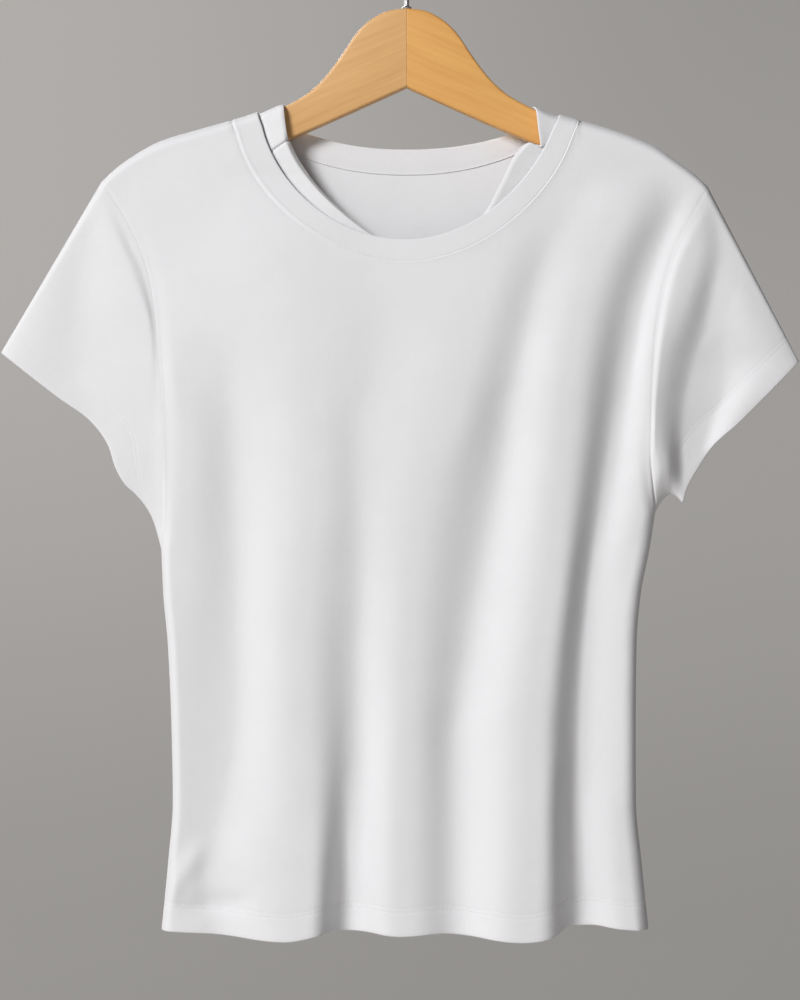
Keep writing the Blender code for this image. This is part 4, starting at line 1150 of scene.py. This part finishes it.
def new_finish(name, roughness):
    finish = bpy.data.materials.new(name)
    finish.use_nodes = True
    shader = finish.node_tree.nodes["Principled BSDF"]
    shader.inputs["Roughness"].default_value = roughness
    return finish, finish.node_tree, shader


def place_node(tree, source, scale=(1.0, 1.0, 1.0), rotation=(0.0, 0.0, 0.0), where="Object"):
    """Object coordinates, or the cloth's own, through a mapping."""
    if where == "Object":
        start = tree.nodes.new("ShaderNodeTexCoord").outputs["Object"]
    else:
        uv = tree.nodes.new("ShaderNodeUVMap")
        uv.uv_map = "cloth"
        start = uv.outputs["UV"]
    mapping = tree.nodes.new("ShaderNodeMapping")
    mapping.vector_type = "TEXTURE"
    mapping.inputs["Scale"].default_value = scale
    mapping.inputs["Rotation"].default_value = rotation
    tree.links.new(start, mapping.inputs["Vector"])
    tree.links.new(mapping.outputs["Vector"], source.inputs["Vector"])


def noise(tree, size, detail=3.0, roughness=0.5, stretch=(1.0, 1.0, 1.0),
          rotation=(0.0, 0.0, 0.0), where="Object"):
    """Noise whose spots are about one size, in metres."""
    spots = tree.nodes.new("ShaderNodeTexNoise")
    spots.inputs["Scale"].default_value = 1.0
    spots.inputs["Detail"].default_value = detail
    spots.inputs["Roughness"].default_value = roughness
    place_node(tree, spots, [part * size for part in stretch], rotation, where)
    return spots.outputs["Fac"]


def tint(tree, value, low, high, colours):
    """A ramp between two colours over a stretch of a pattern's value."""
    ramp = tree.nodes.new("ShaderNodeValToRGB")
    for stop, place, colour in zip(ramp.color_ramp.elements, (low, high), colours):
        stop.position = place
        stop.color = (*colour, 1.0)
    tree.links.new(value, ramp.inputs["Fac"])
    return ramp.outputs["Color"]


def bump(tree, shader, heights):
    """Adds heights to a surface: pairs of a pattern and how many metres it stands out."""
    before = None
    for value, height in heights:
        node = tree.nodes.new("ShaderNodeBump")
        node.inputs["Strength"].default_value = 1.0
        node.inputs["Distance"].default_value = height
        tree.links.new(value, node.inputs["Height"])
        if before:
            tree.links.new(before, node.inputs["Normal"])
        before = node.outputs["Normal"]
    tree.links.new(before, shader.inputs["Normal"])


def knit_stripes(tree, pitch, direction):
    """Even ribs across or along the cloth, a pitch apart."""
    wave = tree.nodes.new("ShaderNodeTexWave")
    wave.wave_type = "BANDS"
    wave.bands_direction = direction
    wave.wave_profile = "SIN"
    wave.inputs["Scale"].default_value = 1.0
    turns = pitch * 20.0 / (2.0 * math.pi)
    place_node(tree, wave, (turns, turns, turns), where="cloth")
    return wave.outputs["Fac"]


def jersey_finish(name, wales, courses, depth):
    """White cotton knit: fine columns and rows of loops, and soft unevenness."""
    finish, tree, shader = new_finish(name, 0.92)
    shade = noise(tree, 0.03, 4.0, 0.6)
    colour = tint(tree, shade, 0.35, 0.65, (COTTON_DARK, COTTON))
    tree.links.new(colour, shader.inputs["Base Color"])
    shader.inputs["Specular IOR Level"].default_value = 0.25
    shader.inputs["Sheen Weight"].default_value = 0.12
    shader.inputs["Sheen Roughness"].default_value = 0.5
    bump(tree, shader, ((noise(tree, 0.009, 3.0, 0.6), 0.0002),
                        (knit_stripes(tree, wales, "X"), depth),
                        (knit_stripes(tree, courses, "Y"), depth * 0.6)))
    return finish


def beech_finish(name, sign, light, dark):
    """Pale wood with long grain along an arm and short darker flecks."""
    finish, tree, shader = new_finish(name, 0.42)
    slope = (0.0, sign * math.radians(GRAIN_SLOPE), 0.0)
    grain = noise(tree, 0.0035, 5.0, 0.6, (20.0, 1.0, 1.0), slope)
    tree.links.new(tint(tree, grain, 0.3, 0.72, (dark, light)), shader.inputs["Base Color"])
    flecks = noise(tree, 0.0012, 2.0, 0.5, (8.0, 1.0, 1.0), slope)
    bump(tree, shader, ((grain, 0.00008), (flecks, 0.00005)))
    shader.inputs["Coat Weight"].default_value = 0.15
    shader.inputs["Coat Roughness"].default_value = 0.3
    return finish


def steel_finish():
    finish, tree, shader = new_finish("bright_steel", 0.28)
    shader.inputs["Base Color"].default_value = (0.62, 0.62, 0.62, 1.0)
    shader.inputs["Metallic"].default_value = 1.0
    bump(tree, shader, ((noise(tree, 0.002, 2.0), 0.00002),))
    return finish


def plain_finish(name, colour, roughness=0.9):
    finish, _, shader = new_finish(name, roughness)
    shader.inputs["Base Color"].default_value = (*colour, 1.0)
    return finish


jersey = jersey_finish("white_jersey_knit", 0.00065, 0.00055, 0.00002)
rib_knit = jersey_finish("white_rib_knit", 0.0012, 0.00055, 0.00004)
thread = plain_finish("white_thread", (0.82, 0.82, 0.83))

# ------------------------------------------------------------------ the shirt

front = make_panel("front", jersey)
back = make_panel("back", jersey)
sleeves = {half: make_sleeve(half, jersey) for half in HALVES}
neckband = make_neckband(rib_knit)
facing = make_facing(jersey)
stitches = {face: panel_stitches(face, thread) for face in FACE_SIGN}
arms = {half: make_arm(half, beech_finish("beech_" + half, HALF_SIGN[half], *BEECH[half]))
        for half in HALVES}
hook = make_hook(steel_finish())

for piece, node, finish in ((front, "front", "white_jersey"), (back, "back", "white_jersey"),
                            (sleeves["left"], "sleeve_left", "white_jersey"),
                            (sleeves["right"], "sleeve_right", "white_jersey"),
                            (neckband, "neckband", "white_rib"),
                            (facing, "neck_facing", "white_jersey")):
    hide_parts(node)
for piece in (front, back, *sleeves.values(), neckband, facing, *stitches.values(),
              *arms.values(), hook):
    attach(piece, "root")

# ------------------------------------------------------------------ floor, light and camera

FLOOR = -2.1
BOWL_FLAT = 9.0
BOWL_ROUND = 2.6
BOWL_STEPS = 16
BOWL_WALL = 3.0

# painted light and shade on the far wall's colour and glow: its brightness at shares of its height,
# lighter at the upper left as if the lamp lit it from there, and how much painted shade darkens it
# beside it, further to the right
PAINTED_LIGHT_LEFT = ((0.0, 0.72), (0.415, 0.88), (1.0, 0.94))
PAINTED_LIGHT_RIGHT = ((0.0, 0.65), (0.415, 0.75), (1.0, 0.68))
PAINTED_SHADE_BESIDE = ((0.0, 1.0), (1.0, 0.45))
WALL_COLOUR = (0.442, 0.428, 0.412, 1.0)
# the far wall glows though it is no lamp: painted light that also lights the shirt from all round
WALL_PAINTED_GLOW = 0.74
WALL_FOOT = FLOOR + 0.05
WALL_TOP = 1.85
WALL_HALF = 1.83          # the painted light changes from left to right over twice this
WALL_FADES = (1.8, 8.0)   # and painted shade darkens it to the right between these

Lamp = namedtuple("Lamp", "name azimuth elevation distance size power colour")
LAMPS = rows_of(Lamp,
    ("window_light", -38.0, 26.0, 6.0, 1.8, 317.0, (0.985, 0.985, 1.0)),
    ("room_light", 35.0, 20.0, 4.0, 3.0, 2.0, (0.93, 0.93, 1.0)),
    ("rear_light", -160.0, 24.0, 4.0, 2.5, 115.0, (0.985, 0.985, 1.0)))
SHIRT_MIDDLE = (0.0, 0.0, -0.42)
ROOM_COLOUR = (0.90, 0.93, 1.0, 1.0)
ROOM_GLOW = 0.07


def graded(tree, axis, low, high, stops):
    """A grey that follows one direction, used to paint light and shade on the far wall: pairs of a
    share of the way and a brightness.
    """
    place = tree.nodes.new("ShaderNodeTexCoord")
    parts = tree.nodes.new("ShaderNodeSeparateXYZ")
    tree.links.new(place.outputs["Object"], parts.inputs["Vector"])
    way = tree.nodes.new("ShaderNodeMapRange")
    way.inputs["From Min"].default_value = low
    way.inputs["From Max"].default_value = high
    tree.links.new(parts.outputs[axis], way.inputs["Value"])
    ramp = tree.nodes.new("ShaderNodeValToRGB")
    ramp.color_ramp.interpolation = "EASE" if len(stops) == 2 else "CARDINAL"
    while len(ramp.color_ramp.elements) < len(stops):
        ramp.color_ramp.elements.new(0.5)
    for stop, (share, value) in zip(ramp.color_ramp.elements, stops):
        stop.position = share
        stop.color = (value, value, value, 1.0)
    tree.links.new(way.outputs["Result"], ramp.inputs["Fac"])
    return ramp.outputs["Color"]


def blended(tree, kind, share, first, second):
    """Two colours mixed or multiplied, each a constant or a pattern's output."""
    blend = tree.nodes.new("ShaderNodeMixRGB")
    blend.blend_type = kind
    blend.inputs["Fac"].default_value = 1.0
    for name, value in (("Fac", share), ("Color1", first), ("Color2", second)):
        if isinstance(value, tuple):
            blend.inputs[name].default_value = value
        elif value:
            tree.links.new(value, blend.inputs[name])
    return blend.outputs["Color"]


def make_bowl():
    """A floor that rises all round in one smooth curve, far from the shirt. Its colour and glow
    carry painted light and shade: lighter at the upper left, darker to the right.
    """
    bpy.ops.object.select_all(action="DESELECT")
    bpy.ops.mesh.primitive_circle_add(vertices=96, radius=BOWL_FLAT, fill_type="NGON",
                                      location=(0.0, 0.0, FLOOR))
    bowl = bpy.context.object
    bowl.name = "floor"
    bpy.ops.object.transform_apply(location=True, rotation=True, scale=True)
    edit_all()
    reach, height = BOWL_FLAT, FLOOR
    for k in range(1, BOWL_STEPS + 1):
        turn = math.radians(90.0 * k / BOWL_STEPS)
        new_reach = BOWL_FLAT + BOWL_ROUND * math.sin(turn)
        new_height = FLOOR + BOWL_ROUND * (1.0 - math.cos(turn))
        draw_out((0.0, 0.0, new_height - height))
        resize((new_reach / reach, new_reach / reach, 1.0), (0.0, 0.0, new_height))
        reach, height = new_reach, new_height
    draw_out((0.0, 0.0, BOWL_WALL))
    bpy.ops.mesh.delete(type="FACE")
    bpy.ops.object.mode_set(mode="OBJECT")
    floor, tree, shader = new_finish("pale_floor_painted_light", 1.0)
    # painted light and shade: the wall is lighter at the upper left and darker to the right, as the
    # lamps would make it
    shades = [graded(tree, "Z", WALL_FOOT, WALL_TOP, stops) for stops in (PAINTED_LIGHT_LEFT, PAINTED_LIGHT_RIGHT)]
    to_right = graded(tree, "X", -WALL_HALF, WALL_HALF, ((0.0, 0.0), (1.0, 1.0)))
    shade = blended(tree, "MIX", to_right, *shades)
    shade = blended(tree, "MULTIPLY", None, shade, graded(tree, "X", *WALL_FADES, PAINTED_SHADE_BESIDE))
    shade = blended(tree, "MULTIPLY", None, shade, WALL_COLOUR)
    tree.links.new(shade, shader.inputs["Base Color"])
    # the painted light and shade also glows, lighting the shirt though the wall is no lamp
    tree.links.new(shade, shader.inputs["Emission Color"])
    shader.inputs["Emission Strength"].default_value = WALL_PAINTED_GLOW
    bowl.data.materials.append(floor)
    bpy.ops.object.shade_smooth()


def soft_light(name, azimuth, elevation, distance, size, power, colour):
    """A square lamp that shines at the shirt's middle. Azimuth 0 is in front of the shirt."""
    turn, rise = math.radians(azimuth), math.radians(elevation)
    way = Vector((math.sin(turn) * math.cos(rise), -math.cos(turn) * math.cos(rise),
                  math.sin(rise)))
    lamp = bpy.data.lights.new(name, "AREA")
    lamp.shape = "SQUARE"
    lamp.size = size
    lamp.energy = power
    lamp.color = colour
    light = bpy.data.objects.new(name, lamp)
    light.location = Vector(SHIRT_MIDDLE) + way * distance
    light.rotation_euler = way.to_track_quat("Z", "Y").to_euler()
    light.visible_camera = False
    bpy.context.scene.collection.objects.link(light)


make_bowl()
for lamp in LAMPS:
    soft_light(*lamp)

world = bpy.data.worlds.new("room")
world.use_nodes = True
glow = world.node_tree.nodes["Background"]
glow.inputs["Color"].default_value = ROOM_COLOUR
glow.inputs["Strength"].default_value = ROOM_GLOW
bpy.context.scene.world = world

CAMERA_PLACE = (-0.0044, -2.205, -0.4357)
SEEN_HEIGHT = 0.73        # height of the middle plane that the picture takes in
SENSOR = 36.0
view = bpy.data.cameras.new("camera")
view.lens = SENSOR * -CAMERA_PLACE[1] / SEEN_HEIGHT
view.sensor_width = SENSOR
view.sensor_fit = "AUTO"
camera = bpy.data.objects.new("camera", view)
camera.location = CAMERA_PLACE
camera.rotation_euler = (math.pi / 2.0, 0.0, 0.0)
bpy.context.scene.collection.objects.link(camera)
bpy.context.scene.camera = camera
bpy.context.scene.view_settings.view_transform = "Standard"
